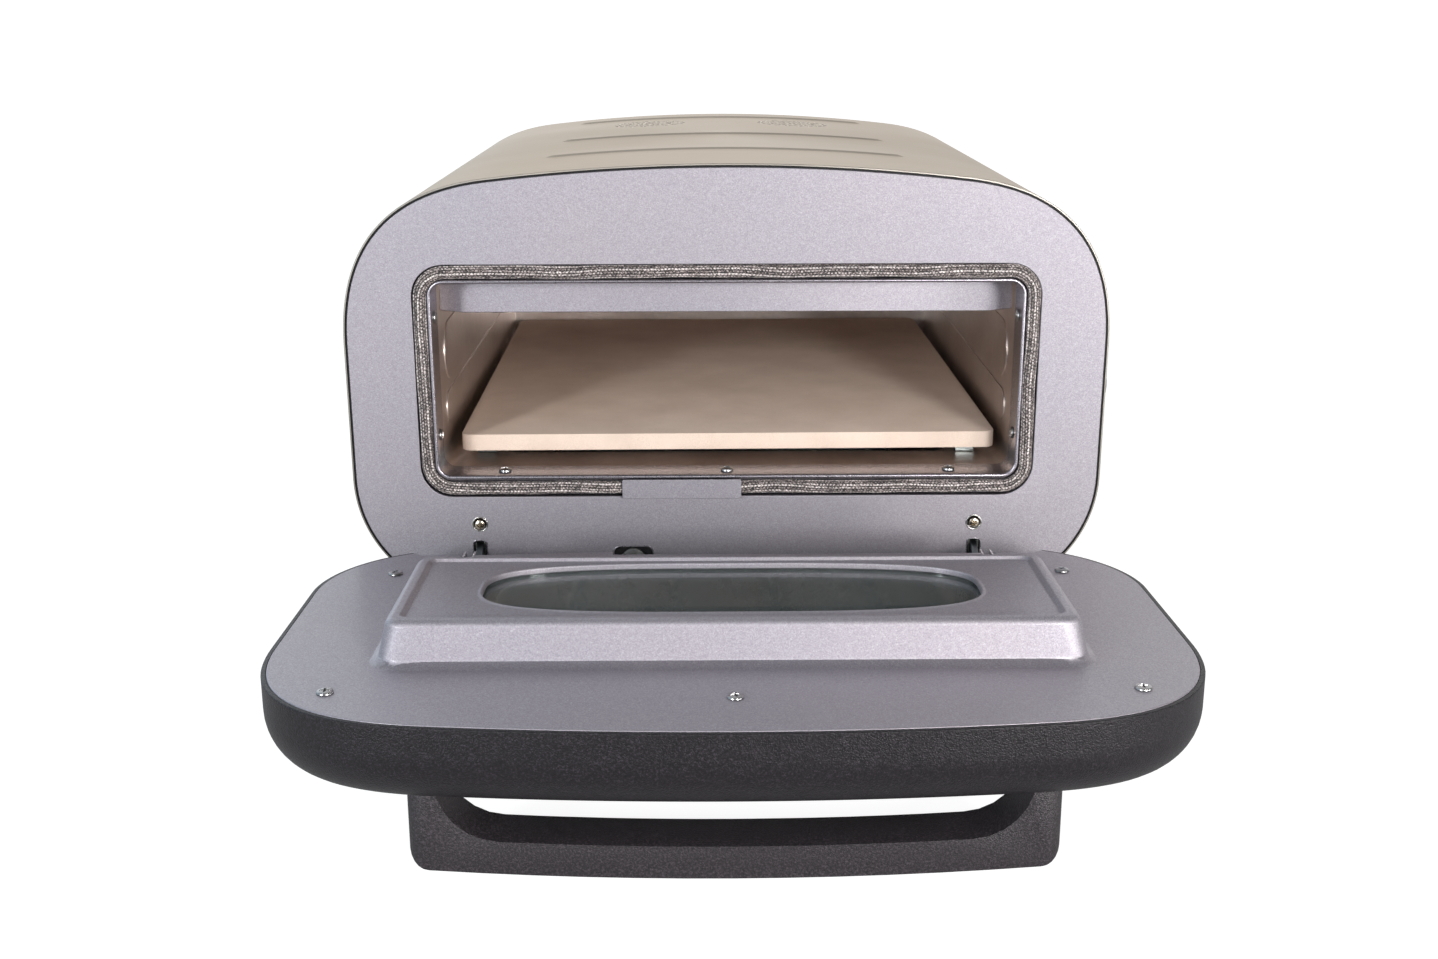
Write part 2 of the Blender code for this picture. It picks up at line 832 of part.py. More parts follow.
def loop_path(outer_x, inner_x, front, back, bend, z):
    """A heating tube that runs out, across the front and back inside itself."""
    corner = 5
    path = [(-outer_x, back, z)]
    turns = [pi + (pi / 2) * k / corner for k in range(corner + 1)]
    path += [(-outer_x + bend + bend * cos(t), front + bend + bend * sin(t), z) for t in turns]
    path += [(outer_x - bend - bend * cos(t), front + bend + bend * sin(t), z)
             for t in reversed(turns)]
    swing = (outer_x - inner_x) / 2
    far = back - swing - bend
    middle = (outer_x + inner_x) / 2
    path += [(middle + swing * cos(pi * k / 8), far + swing * sin(pi * k / 8), z) for k in range(9)]
    near = front + 2 * bend
    path += [(inner_x * cos(pi * k / 8), near + inner_x - inner_x * sin(pi * k / 8), z)
             for k in range(9)]
    path.append((-inner_x, back, z))
    return path


def build_heaters(pan_z):
    rear = liner_back - sheet - gap
    inner_x = element_run_spacing / 2
    outer_x = inner_x + element_run_spacing
    flange_y = rear - sheet
    tube("upper_element", steel,
         loop_path(outer_x, inner_x, upper_element_front, flange_y - gap,
                   upper_bend, upper_element_z), element_radius)
    low_z = pan_z + lower_element_lift
    tube("lower_element", steel,
         loop_path(outer_x, inner_x, lower_element_front, lower_element_back,
                   lower_bend, low_z), element_radius)
    box("element_flange", steel,
        (-outer_x - terminal_margin, flange_y, upper_element_z - terminal_height / 2),
        (-inner_x + terminal_margin, rear, upper_element_z + terminal_height / 2))
    seat = element_radius + gap
    half_x = mouth_width / 2 + sheet
    box("element_bar", steel, (-half_x, element_bar_y, upper_element_z - seat - sheet),
        (half_x, element_bar_y + element_bar_width, upper_element_z - seat))
    rest_y = lower_element_front + 2 * lower_bend
    box("lower_element_rest", steel, (-outer_x - seat, rest_y, pan_z + gap),
        (outer_x + seat, rest_y + element_bar_width, low_z - seat))


def build_stone(floor_z):
    low = stone_top - stone_thickness
    middle_y = stone_front + stone_depth / 2
    outline = rounded(stone_width, stone_depth, stone_corner)
    stone = level_plate("pizza_stone", cordierite, [outline], 0.0, stone_thickness)
    stone = as_mesh(stone)
    stone.location = (stone_offset_x, middle_y, low + stone_thickness / 2)
    stone.rotation_euler = (0.0, 0.0, stone_turn)
    bevel(stone, sheet)
    edge = stone_width / 2 - rail_inset
    for side, name in ((-1, "left"), (1, "right")):
        a = side * edge
        b = side * (edge - rail_width)
        start = middle_y - rail_length / 2
        box(f"stone_rail_{name}", cavity_grey, (min(a, b), start, floor_z + gap),
            (max(a, b), start + rail_length, low - gap))


def build_blanket():
    out = 2 * sheet + 2 * gap
    inner = mouth(out)
    outer = mouth(out + blanket_thickness)
    low = mouth_middle - mouth_height / 2
    outer = [p for p in outer if p[1] > low]
    inner = [p for p in inner if p[1] > low]
    right_outer = [p for p in outer if p[0] > 0]
    left_outer = [p for p in outer if p[0] < 0]
    right_inner = [p for p in inner if p[0] > 0]
    left_inner = [p for p in inner if p[0] < 0]
    path = right_outer + left_outer + left_inner[::-1] + right_inner[::-1]
    plate("insulation_blanket", wool, [path], blanket_front, liner_back - blanket_front)


def build_rear_and_bottom():
    y = case_depth - rear_recess
    holes = []
    for z in (case_top - rear_slot_top_room, case_bottom + rear_slot_low_rise):
        for i in range(rear_slot_count):
            x = (i - (rear_slot_count - 1) / 2) * rear_slot_pitch
            holes.append(rounded(rear_slot_width, rear_slot_length, rear_slot_width / 3, x, z, 1))
    hole = rounded(inlet_width + gap * 2, inlet_height + gap * 2, inlet_flange, inlet_x, inlet_z)
    plate("rear_panel", black, [arched(shell_sheet + gap)] + holes + [hole], y, sheet)
    outer = rounded(inlet_width + 2 * inlet_flange, inlet_height + 2 * inlet_flange, inlet_flange,
                    inlet_x, inlet_z)
    body = rounded(inlet_width, inlet_height, inlet_flange, inlet_x, inlet_z)
    socket = rounded(inlet_width - inlet_flange, inlet_height - inlet_flange, inlet_flange / 2,
                     inlet_x, inlet_z)
    loft("power_inlet", black,
         [at_y(body, y - inlet_depth), at_y(body, rear_skin_y), at_y(outer, rear_skin_y),
          at_y(outer, rear_end_y), at_y(socket, rear_end_y),
          at_y(socket, y - inlet_depth + inlet_proud)])
    half_x = half_case - floor_corner_radius - gap
    y_low = sheet + 2 * gap + trim_thickness
    y_high = y - gap
    floor_plate = rounded(2 * half_x, y_high - y_low, bottom_corner, 0.0, (y_low + y_high) / 2)
    slots = []
    for i in range(rear_slot_count):
        x = (i - (rear_slot_count - 1) / 2) * rear_slot_pitch
        slots.append(rounded(rear_slot_width, rear_slot_length, rear_slot_width / 3,
                             x, (y_low + y_high) / 2, 1))
    level_plate("bottom_plate", black, [floor_plate] + slots, case_bottom, sheet)
    height = case_bottom - gap
    profile = [(0.0, height), (foot_top_radius, height), (foot_low_radius + sheet, foot_pad_height),
               (foot_low_radius, foot_pad_height - sheet), (foot_low_radius, sheet),
               (foot_low_radius - sheet, 0.0), (0.0, 0.0)]
    for end, y in (("front", foot_front), ("rear", foot_rear)):
        for side, name in ((-1, "left"), (1, "right")):
            turned(f"foot_{end}_{name}", rubber, (side * foot_x, y, 0.0), (0.0, 0.0, 1.0), profile,
                   sides=20)


def build_controls():
    face_x = half_case + gap
    middle_y = control_front + control_length / 2
    panel = rounded(control_length, control_high - control_low, control_corner, middle_y,
                    (control_low + control_high) / 2)
    lamp_y = (knob_near_y + knob_far_y) / 2
    holes = [circle(y, knob_z, shaft_radius + gap) for y in (knob_near_y, knob_far_y)]
    holes.append(circle(lamp_y, lamp_z, lamp_radius + gap))
    side_plate("control_panel", black, [panel] + holes, face_x + control_plate / 2, control_plate)
    shell = bpy.data.objects["outer_shell"]
    inside = half_case - shell_sheet - gap
    for name, y in (("thermostat", knob_near_y), ("timer", knob_far_y)):
        shaft_end = face_x + control_plate + knob_skirt
        body = box(f"{name}_body", black,
                   (inside - control_body_depth, y - control_body_width / 2,
                    knob_z - control_body_width / 2),
                   (inside, y + control_body_width / 2, knob_z + control_body_width / 2))
        stem = cylinder(f"{name}_stem", steel, ((inside + shaft_end) / 2 - sheet, y, knob_z),
                        shaft_radius, shaft_end - inside + 2 * sheet, (1.0, 0.0, 0.0), sides=16)
        combine(body, stem, "UNION")
        combine(shell, cylinder(f"{name}_hole", steel, (half_case, y, knob_z),
                                shaft_radius + gap, 2 * cut_over, (1.0, 0.0, 0.0), sides=16))
        foot_x_place = shaft_end - knob_skirt + gap
        profile = [(0.0, knob_height), (knob_radius - knob_skirt, knob_height),
                   (knob_radius - knob_skirt / 2, knob_height - knob_skirt / 2),
                   (knob_radius - knob_skirt / 2, knob_skirt), (knob_radius, knob_skirt / 2),
                   (knob_radius, 0.0), (shaft_radius + gap, 0.0),
                   (shaft_radius + gap, knob_skirt + gap), (0.0, knob_skirt + gap)]
        knob = turned(f"{name}_knob", black, (foot_x_place, y, knob_z), (1.0, 0.0, 0.0),
                      profile, sides=24)
        step = box(f"{name}_pointer", steel,
                   (-knob_skirt / 4, -knob_skirt / 4, knob_height - knob_skirt / 2),
                   (knob_skirt / 4, knob_radius - knob_skirt * 2, knob_height + knob_skirt))
        step.matrix_parent_inverse = Matrix.Identity(4)
        step.parent = knob
        combine(knob, step)
    combine(shell, cylinder("lamp_hole", steel, (half_case, lamp_y, lamp_z), lamp_radius + gap,
                            2 * cut_over, (1.0, 0.0, 0.0), sides=16))
    crown = face_x + control_plate
    profile = [(0.0, sheet * 2), (lamp_radius, sheet), (lamp_radius, -lamp_length), (0.0, -lamp_length)]
    turned("indicator_lamp", red_lens, (crown, lamp_y, lamp_z), (1.0, 0.0, 0.0), profile, sides=16)


# Door hinges and switch
def build_hinges():
    lean = atan2(arm_root_high - hinge_z, -hinge_y)
    tangent = lean + pi / 2
    eye = arc(hinge_y, hinge_z, arm_eye, tangent, tangent + pi + lean)
    arm = [(arm_root_back, arm_root_low), (arm_root_back, arm_root_high), (0.0, arm_root_high)]
    arm += eye + [(0.0, arm_root_low)]
    for side, name in ((-1, "left"), (1, "right")):
        x = side * arm_x
        side_plate(f"hinge_arm_{name}", steel,
                   [arm, circle(hinge_y, hinge_z, pin_radius + gap, 12)], x, arm_thickness)
        inside = arm_thickness / 2 + gap
        outside = inside + cheek_thickness
        low = arm_root_low - gap
        back = sheet + gap
        far = back + receiver_depth
        channel = [(x - outside, low - cheek_thickness), (x + outside, low - cheek_thickness),
                   (x + outside, low + receiver_height), (x + inside, low + receiver_height),
                   (x + inside, low), (x - inside, low), (x - inside, low + receiver_height),
                   (x - outside, low + receiver_height)]
        plate(f"hinge_receiver_{name}", steel, [channel], back, far - back)
        web_y = hinge_y - arm_eye - gap
        cheek = [(x - outside, web_y - cheek_thickness), (x + outside, web_y - cheek_thickness),
                 (x + outside, -hinge_cheek_back()), (x + inside, -hinge_cheek_back()),
                 (x + inside, web_y), (x - inside, web_y), (x - inside, -hinge_cheek_back()),
                 (x - outside, -hinge_cheek_back())]
        bracket = as_mesh(level_plate(f"door_hinge_{name}", steel, [cheek], hinge_z - cheek_eye,
                                      cheek_height))
        pin = cylinder(f"hinge_pin_{name}", steel, (x, hinge_y, hinge_z), pin_radius, pin_length,
                       (1.0, 0.0, 0.0), sides=12)
        combine(bracket, pin, "UNION")
        on_door(pin)
        on_door(bracket)


def hinge_cheek_back():
    """How far in front of the oven's face the door bracket's cheeks end."""
    return door_gap + inner_sheet + 2 * gap


def build_switch():
    y = sheet + gap
    housing = box("switch_housing", black,
                  (switch_x - switch_width / 2 - sheet, y, switch_z - switch_height / 2 - sheet),
                  (switch_x + switch_width / 2 + sheet, y + switch_depth,
                   switch_z + switch_height / 2 + sheet))
    bore = button_length - button_proud + button_travel_room
    combine(housing, cylinder("switch_bore", steel, (switch_x, y + bore / 2 - cut_over / 2, switch_z),
                              button_radius + gap, bore + cut_over, (0.0, 1.0, 0.0)))
    profile = [(0.0, 0.0), (button_radius / 2, -button_dome / 4),
               (button_radius * 3 / 4, -button_dome / 2), (button_radius, -button_dome),
               (button_radius, -button_length), (0.0, -button_length)]
    turned("switch_button", black, (switch_x, -button_proud, switch_z), (0.0, -1.0, 0.0), profile)


# Door
def door_depth(z, edge):
    """How deep the door's front lies behind its panel side at a height."""
    share = (case_top - z) / (case_top - door_bottom)
    return door_thickness_top + (door_thickness_low - door_thickness_top) * share - edge


def door_ring(share_in, share_deep, shrink, front_edge):
    """One outline of the door's pillow shape; the hinge edge is rounded less."""
    ring = []
    outer = arched(shrink, door_bottom)
    full = arched(shrink + door_edge_in * share_in, door_bottom)
    tight = arched(shrink + door_low_edge_in * share_in, door_bottom)
    for (ox, oz), (fx, fz), (tx, tz) in zip(outer, full, tight):
        low_share = min(1.0, max(0.0, (door_bottom + floor_corner_radius - oz) / floor_corner_radius))
        low_share = low_share * low_share
        x = fx + (tx - fx) * low_share
        z = fz + (tz - fz) * low_share
        depth = door_depth(z, front_edge)
        straight = depth - door_edge_deep * (1 - low_share) - door_low_edge_in * low_share
        y = straight + (depth - straight) * share_deep
        ring.append((x, -door_gap - y, z))
    return ring


def build_door_body():
    steps = 4
    rings = []
    for i in range(steps + 1):
        turn = pi / 2 * i / steps
        rings.append(door_ring(1 - sin(turn), cos(turn), 0.0, 0.0))
    rim = -door_gap - door_rim_back
    rings.append(at_y(arched(0.0, door_bottom), rim))
    rings.append(at_y(arched(inner_inset - gap, door_bottom), rim))
    ledge = -door_gap - inner_sheet - gap
    rings.append(at_y(arched(inner_inset - gap, door_bottom), ledge))
    rings.append(at_y(arched(inner_inset + door_wall, door_bottom), ledge))
    for i in range(steps, -1, -1):
        turn = pi / 2 * i / steps
        rings.append(door_ring(1 - sin(turn), cos(turn), inner_inset + door_wall, door_wall))
    body = loft("door_body", black, rings)
    hole = loft("outer_window_hole", steel,
                [at_y(oval(outer_window_share), -door_gap - door_thickness_low - cut_over),
                 at_y(oval(outer_window_share), -door_gap - door_thickness_top / 2)])
    combine(body, hole)
    on_door(hole)
    for side, name in ((-1, "left"), (1, "right")):
        x = side * arm_x
        tool = box(f"arm_slot_{name}", steel,
                   (x - slot_width / 2, hinge_y - arm_eye - cheek_thickness - 2 * gap,
                    door_bottom - cut_over),
                   (x + slot_width / 2, 0.0, slot_high))
        combine(body, tool)
        combine(bpy.data.objects["door_inner_panel"], tool)
        on_door(tool)
    notch = hinge_notch()
    combine(body, notch)
    combine(bpy.data.objects["door_inner_panel"], notch)
    on_door(notch)
    return on_door(body)


def hinge_notch():
    """A block that clears the door's inner side between its two lower corners."""
    low = door_bottom - cut_over
    high = door_bottom + notch_rise
    near = half_case - notch_side_room
    wide = near + (high - low) * notch_lean_share
    outline = [(-wide, low), (wide, low), (near, high), (-notch_step_near_x, high),
               (-notch_step_near_x, high - notch_step), (-notch_step_far_x, high),
               (-near, high)]
    return loft("hinge_notch", steel, [at_y(outline, -door_gap - notch_depth), at_y(outline, 0.0)])


def plug_outline(width, low, high, radius):
    return rounded(width, high - low, radius, 0.0, (low + high) / 2)


def build_inner_panel():
    top = plug_outline(plug_top_width, plug_top_low, plug_top_high, plug_corner)
    directions = [(x, z - plug_middle) for x, z in top]
    directions += [(x, z - plug_middle) for x, z in arched(inner_inset, door_bottom)
                   if abs(x) > plug_top_width / 2 or z > plug_top_high]
    directions += [(x, z - plug_middle) for x, z in oval(sides=24)]
    directions.sort(key=lambda d: Vector(d).angle_signed(Vector((1.0, tiny))) % tau)
    spread = [directions[0]]
    for d in directions[1:]:
        if Vector(d).angle(Vector(spread[-1])) > radians(2.4):
            spread.append(d)

    def ring(outline, y):
        return [(x, y, z) for x, z in (along(outline, d) for d in spread)]

    face = -door_gap
    crest = face + plug_height
    low = crest - plug_sink
    round_in = plug_round / 2
    base = plug_outline(plug_base_width, plug_base_low, plug_base_high, plug_corner * 3 / 2)
    foot = plug_outline(plug_base_width + 2 * plug_round * 2, plug_base_low - plug_round,
                        plug_base_high + plug_round * 3, plug_corner * 2)

    def inset_top(by, low_by):
        return plug_outline(plug_top_width - 2 * by, plug_top_low + low_by, plug_top_high - by,
                            max(plug_corner - by / 2, plug_corner / 2))
    steps = [(arched(inner_inset, door_bottom), face), (foot, face), (base, face + plug_round),
             (inset_top(-round_in, -round_in), crest - plug_round),
             (inset_top(round_in, round_in), crest), (inset_top(plug_rim, plug_low_rim), crest),
             (inset_top(plug_rim + plug_slope, plug_low_rim + plug_low_slope), low),
             (oval(grow=window_lip), low), (oval(), low - window_sink)]
    front = [ring(outline, y) for outline, y in steps]
    behind = [[(x, y - inner_sheet, z) for x, y, z in line] for line in front]
    for line in (2, 3, 4):
        outline = [(x * (1 - inner_sheet / (plug_top_width / 2)),
                    plug_middle + (z - plug_middle) * (1 - inner_sheet / (plug_height * 2)))
                   for x, z in steps[line][0]]
        behind[line] = ring(outline, steps[line][1] - inner_sheet)
    panel = loft("door_inner_panel", silver, front + behind[::-1], capped=False)
    return on_door(panel)


def build_windows():
    low = -door_gap + plug_height - plug_sink - window_sink - inner_sheet
    inner_y = low - gap - glass_thickness
    on_door(plate("inner_window_glass", glass, [oval(grow=glass_overlap)], inner_y, glass_thickness))
    grow = glass_overlap / 2
    front_y = -door_gap - door_depth(window_middle, 0.0)
    outer_y = front_y + door_wall * 2 + gap
    scale = outer_window_share
    on_door(plate("outer_window_glass", glass, [oval(scale, grow=glass_overlap)], outer_y,
                  glass_thickness))
    rise = outer_y + glass_thickness + gap
    on_door(plate("window_spacer", steel, [oval(scale, grow=grow), oval(scale, grow=grow - spacer_wall)],
                  rise, inner_y - gap - rise))


def bowed_edge(half, corner, radius, middle_y, root):
    """A line across the handle with straight ends, round corners and a bowed middle."""
    x = half - corner
    y = middle_y - sqrt((radius - corner) ** 2 - x ** 2)
    lean = atan2(y - middle_y, x)
    line = [(half, root)] + arc(x, y, corner, 0.0, lean, 6)
    line += arc(0.0, middle_y, radius, lean, -pi / 2, 6)[1:]
    line = [(px, min(py, root)) for px, py in line]
    return line + [(-px, py) for px, py in line[-2::-1]]


def build_handle():
    half = handle_width / 2
    outer_face = -door_gap - handle_reach
    root = -door_gap - door_thickness_top
    bow = (half ** 2 + handle_bow ** 2) / (2 * handle_bow)
    middle_y = outer_face + bow
    outside = bowed_edge(half, handle_corner, bow, middle_y, root)
    inside = bowed_edge(half - handle_post, handle_inner_corner, bow - handle_bar_depth,
                        middle_y, root)
    handle = as_mesh(level_plate("door_handle", black, [outside + inside[::-1]],
                                 handle_top - handle_height, handle_height))
    ends = rounded(handle_width, handle_height, handle_end_round, 0.0,
                   handle_top - handle_height / 2)
    keeper = as_mesh(plate("handle_ends", steel, [ends], outer_face - cut_over,
                           root - outer_face + 2 * cut_over))
    trimmer = loft("handle_trim", steel, handle_trim_rings())
    combine(handle, keeper, "INTERSECT")
    combine(handle, trimmer)
    bevel(handle, handle_edge_round)
    on_door(keeper)
    on_door(trimmer)
    on_door(handle)


def handle_trim_rings():
    """A block shaped like the door's front, a gap proud of it."""
    reach = handle_width / 2 + cut_over
    rings = []
    for z in (handle_top - handle_height - cut_over, handle_top + cut_over):
        front = -door_gap - door_depth(z, 0.0) - gap
        rings.append([(-reach, front, z), (reach, front, z), (reach, -door_gap, z),
                      (-reach, -door_gap, z)])
    return rings


def build_screws():
    wall_x = mouth_width / 2 - gap
    floor_z = mouth_middle - mouth_height / 2 + gap
    up = (0.0, 0.0, 1.0)
    front = (0.0, -1.0, 0.0)
    inward = (0.0, 1.0, 0.0)
    throat = {"floor_middle": ((0.0, liner_screw_y, floor_z), up)}
    door = {"middle": ((0.0, -door_gap + gap, door_screw_mid), inward)}
    for side, name in ((-1, "left"), (1, "right")):
        screw(f"hinge_screw_{name}", (side * hinge_screw_x, -gap, hinge_screw_z), front)
        for level, z in (("low", door_screw_low), ("high", door_screw_high)):
            door[f"{level}_{name}"] = ((side * door_screw_x, -door_gap + gap, z), inward)
        for level, z in (("low", liner_screw_low), ("high", liner_screw_high)):
            throat[f"{level}_{name}"] = ((side * wall_x, liner_screw_y, z), (-side, 0.0, 0.0))
        throat[f"floor_{name}"] = ((side * liner_screw_x, liner_screw_y, floor_z), up)
    for name, (place, axis) in throat.items():
        screw(f"throat_screw_{name}", place, axis, liner_screw_head, liner_screw_shank)
    for name, (place, axis) in door.items():
        on_door(screw(f"door_screw_{name}", place, axis))
    tool = drills("throat_drill", throat.values(), liner_screw_shank + gap, 2 * screw_length)
    combine(bpy.data.objects["oven_throat"], tool)
    combine(bpy.data.objects["cavity_liner"], tool)
    tool = drills("door_drill", door.values(), screw_shank + gap, 2 * screw_length)
    combine(bpy.data.objects["door_inner_panel"], tool)
    on_door(tool)


build_shell()
build_front()
build_seal()
liner_floor = build_liner()
pan_floor = build_pan(liner_floor)
build_lintel()
build_heaters(pan_floor)
build_stone(liner_floor)
build_blanket()
build_rear_and_bottom()
build_controls()
build_hinges()
build_switch()
build_inner_panel()
build_door_body()
build_windows()
build_handle()
build_screws()
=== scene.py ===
"""Looks of the pizza oven: materials, finer shapes, camera and light."""
import json
from math import atan2, cos, pi, radians, sin, sqrt, tau

import bmesh
import bpy
from mathutils import Matrix, Vector


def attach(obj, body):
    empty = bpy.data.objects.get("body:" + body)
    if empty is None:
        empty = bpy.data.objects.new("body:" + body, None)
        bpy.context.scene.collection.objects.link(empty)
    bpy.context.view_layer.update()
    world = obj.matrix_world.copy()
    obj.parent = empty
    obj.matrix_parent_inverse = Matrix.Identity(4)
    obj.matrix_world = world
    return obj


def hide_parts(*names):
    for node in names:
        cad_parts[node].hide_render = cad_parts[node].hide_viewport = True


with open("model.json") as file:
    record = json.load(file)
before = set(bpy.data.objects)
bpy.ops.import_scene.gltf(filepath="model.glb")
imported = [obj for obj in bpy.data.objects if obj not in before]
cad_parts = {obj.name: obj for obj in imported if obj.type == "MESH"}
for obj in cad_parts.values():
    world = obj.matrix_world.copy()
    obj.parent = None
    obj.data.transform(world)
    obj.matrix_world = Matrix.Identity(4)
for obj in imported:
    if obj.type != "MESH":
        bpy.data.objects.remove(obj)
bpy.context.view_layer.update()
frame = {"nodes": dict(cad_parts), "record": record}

nodes = frame["nodes"]
bodies = frame["record"]["behaviour"]["bodies"]
body_of = {node: body for body, group in bodies.items() for node in group}


# Camera
def place_camera():
    """The camera that was fitted to the photo."""
    lens, sensor = 39.725, 36.0
    spot = (-0.02277, -1.02140, 0.4050)
    pitch, yaw, roll = radians(16.577), radians(0.487), radians(-0.114)
    ahead = Vector((sin(yaw) * cos(pitch), cos(yaw) * cos(pitch), -sin(pitch)))
    level = Vector((cos(yaw), -sin(yaw), 0.0))
    raised = level.cross(ahead)
    right = cos(roll) * level + sin(roll) * raised
    up = cos(roll) * raised - sin(roll) * level
    data = bpy.data.cameras.new("camera")
    data.lens = lens
    data.sensor_width = sensor
    data.sensor_fit = "HORIZONTAL"
    data.clip_start = 0.01
    obj = bpy.data.objects.new("camera", data)
    turn = Matrix((right, up, -ahead)).transposed().to_4x4()
    obj.matrix_world = Matrix.Translation(spot) @ turn
    bpy.context.scene.collection.objects.link(obj)
    bpy.context.scene.camera = obj


# Node trees
class Tree:
    """The nodes of a material or world and the short names for adding to them."""

    def __init__(self, owner, place):
        owner.use_nodes = True
        self.tree = owner.node_tree
        self.tree.nodes.clear()
        self.place = self.add("ShaderNodeTexCoord").outputs[place]

    def put(self, node, socket, value):
        name = socket.replace("_", " ") if isinstance(socket, str) else socket
        target = node.inputs[name]
        if isinstance(value, bpy.types.NodeSocket):
            self.tree.links.new(value, target)
        else:
            if target.type == "RGBA" and len(value) == 3:
                value = (*value, 1.0)
            target.default_value = value

    def add(self, kind, _settings=None, **values):
        node = self.tree.nodes.new(kind)
        for key, value in (_settings or {}).items():
            setattr(node, key, value)
        for key, value in values.items():
            self.put(node, key, value)
        return node

    def math(self, operation, a, b):
        node = self.add("ShaderNodeMath", {"operation": operation})
        self.put(node, 0, a)
        self.put(node, 1, b)
        return node.outputs[0]

    def mixed(self, a, share_a, b, share_b):
        """The sum of two values, each times its share."""
        return self.math("ADD", self.math("MULTIPLY", a, share_a),
                         self.math("MULTIPLY", b, share_b))

    def stretched(self, sx, sy, sz):
        node = self.add("ShaderNodeVectorMath", {"operation": "MULTIPLY"})
        self.put(node, 0, self.place)
        self.put(node, 1, (sx, sy, sz))
        return node.outputs[0]

    def noise(self, scale, detail, rough, place=None, distortion=0.0):
        node = self.add("ShaderNodeTexNoise", Vector=place or self.place, Scale=scale,
                        Detail=detail, Roughness=rough, Distortion=distortion)
        return node.outputs["Fac"]

    def cells(self, scale, output="Color"):
        return self.add("ShaderNodeTexVoronoi", Vector=self.place, Scale=scale).outputs[output]

    def level(self, value, low, high, to_low, to_high):
        node = self.add("ShaderNodeMapRange", Value=value, From_Min=low, From_Max=high,
                        To_Min=to_low, To_Max=to_high)
        return node.outputs[0]

    def ramp(self, value, stops):
        node = self.add("ShaderNodeValToRGB", Fac=value)
        ramp = node.color_ramp
        while len(ramp.elements) < len(stops):
            ramp.elements.new(0.5)
        for element, (at, colour) in zip(ramp.elements, stops):
            element.position = at
            element.color = (*colour, 1.0)
        return node.outputs[0]

    def tinted(self, colour, tint):
        """A colour times a tint; the sockets' numbers are those of the node's colour kind."""
        node = self.add("ShaderNodeMix", {"data_type": "RGBA", "blend_type": "MULTIPLY"})
        share, first, second, result = 0, 6, 7, 2
        self.put(node, share, 1.0)
        self.put(node, first, colour)
        self.put(node, second, tint)
        return node.outputs[result]

    def split(self, value):
        return self.add("ShaderNodeSeparateColor", Color=value).outputs

    def bump(self, height, distance, strength):
        return self.add("ShaderNodeBump", Height=height, Distance=distance,
                        Strength=strength).outputs[0]

    def seen(self):
        """One where the camera looks, straight or through glass, and zero elsewhere."""
        paths = self.add("ShaderNodeLightPath").outputs
        return self.math("MAXIMUM", paths["Is Camera Ray"], paths["Is Transmission Ray"])


class Look(Tree):
    """A material with one shader."""

    def __init__(self, name, **values):
        self.material = bpy.data.materials.new(name)
        super().__init__(self.material, "Object")
        self.shader = self.add("ShaderNodeBsdfPrincipled", **values)
        self.put(self.add("ShaderNodeOutputMaterial"), "Surface", self.shader.outputs[0])

    def set(self, **values):
        for key, value in values.items():
            self.put(self.shader, key, value)


def sparkle_paint(name, smoothest, roughest):
    """Silver lacquer: fine metal flake under a clear coat, in clouds of slightly other tone."""
    look = Look(name, Metallic=1.0, Coat_Weight=0.35, Coat_Roughness=0.2)
    flake = look.split(look.cells(2100.0))
    grain = look.noise(1500.0, 2.0, 0.6)
    patch = look.noise(7.0, 3.0, 0.55)
    shine = look.mixed(flake[0], 0.45, grain, 0.55)
    colour = look.ramp(shine, [(0.18, (0.35, 0.328, 0.36)), (0.50, (0.435, 0.408, 0.444)),
                               (0.72, (0.49, 0.465, 0.50)), (0.92, (0.70, 0.68, 0.72))])
    tint = look.ramp(patch, [(0.3, (0.955, 0.965, 0.985)), (0.7, (1.0, 0.985, 0.99))])
    look.set(Base_Color=look.tinted(colour, tint),
             Roughness=look.level(flake[1], 0.0, 1.0, smoothest, roughest),
             Normal=look.bump(shine, 0.00005, 0.45))
    return look.material


def brushed_steel():
    """Shell sheet: fine brush lines that run round the case."""
    look = Look("brushed_steel", Metallic=1.0, Anisotropic=0.3, Specular_Tint=(0.84, 0.755, 0.67))
    lines = look.noise(1.0, 3.0, 0.7, look.stretched(9.0, 1700.0, 9.0))
    broad = look.noise(1.0, 2.0, 0.5, look.stretched(4.0, 140.0, 4.0))
    smudge = look.noise(6.0, 3.0, 0.6)
    mixed = look.mixed(lines, 0.7, broad, 0.3)
    colour = look.ramp(mixed, [(0.3, (0.37, 0.345, 0.31)), (0.7, (0.50, 0.47, 0.43))])
    tone = look.ramp(smudge, [(0.3, (0.93, 0.94, 0.95)), (0.7, (1.0, 0.985, 0.96))])
    rough = look.math("ADD", look.level(mixed, 0.3, 0.7, 0.30, 0.38),
                      look.level(smudge, 0.3, 0.7, -0.02, 0.05))
    look.set(Base_Color=look.tinted(colour, tone), Roughness=rough,
             Normal=look.bump(mixed, 0.00003, 0.35))
    return look.material


def plain_steel(name, low, high, rough):
    """Cloudy bare or plated metal between two colours."""
    spread = 0.06
    look = Look(name, Metallic=1.0)
    clouds = look.noise(260.0, 4.0, 0.6)
    broad = look.noise(24.0, 3.0, 0.55)
    mixed = look.mixed(clouds, 0.45, broad, 0.55)
    look.set(Base_Color=look.ramp(mixed, [(0.3, low), (0.7, high)]),
             Roughness=look.level(mixed, 0.3, 0.7, rough - spread, rough + spread),
             Normal=look.bump(clouds, 0.00004, 0.3))
    return look.material


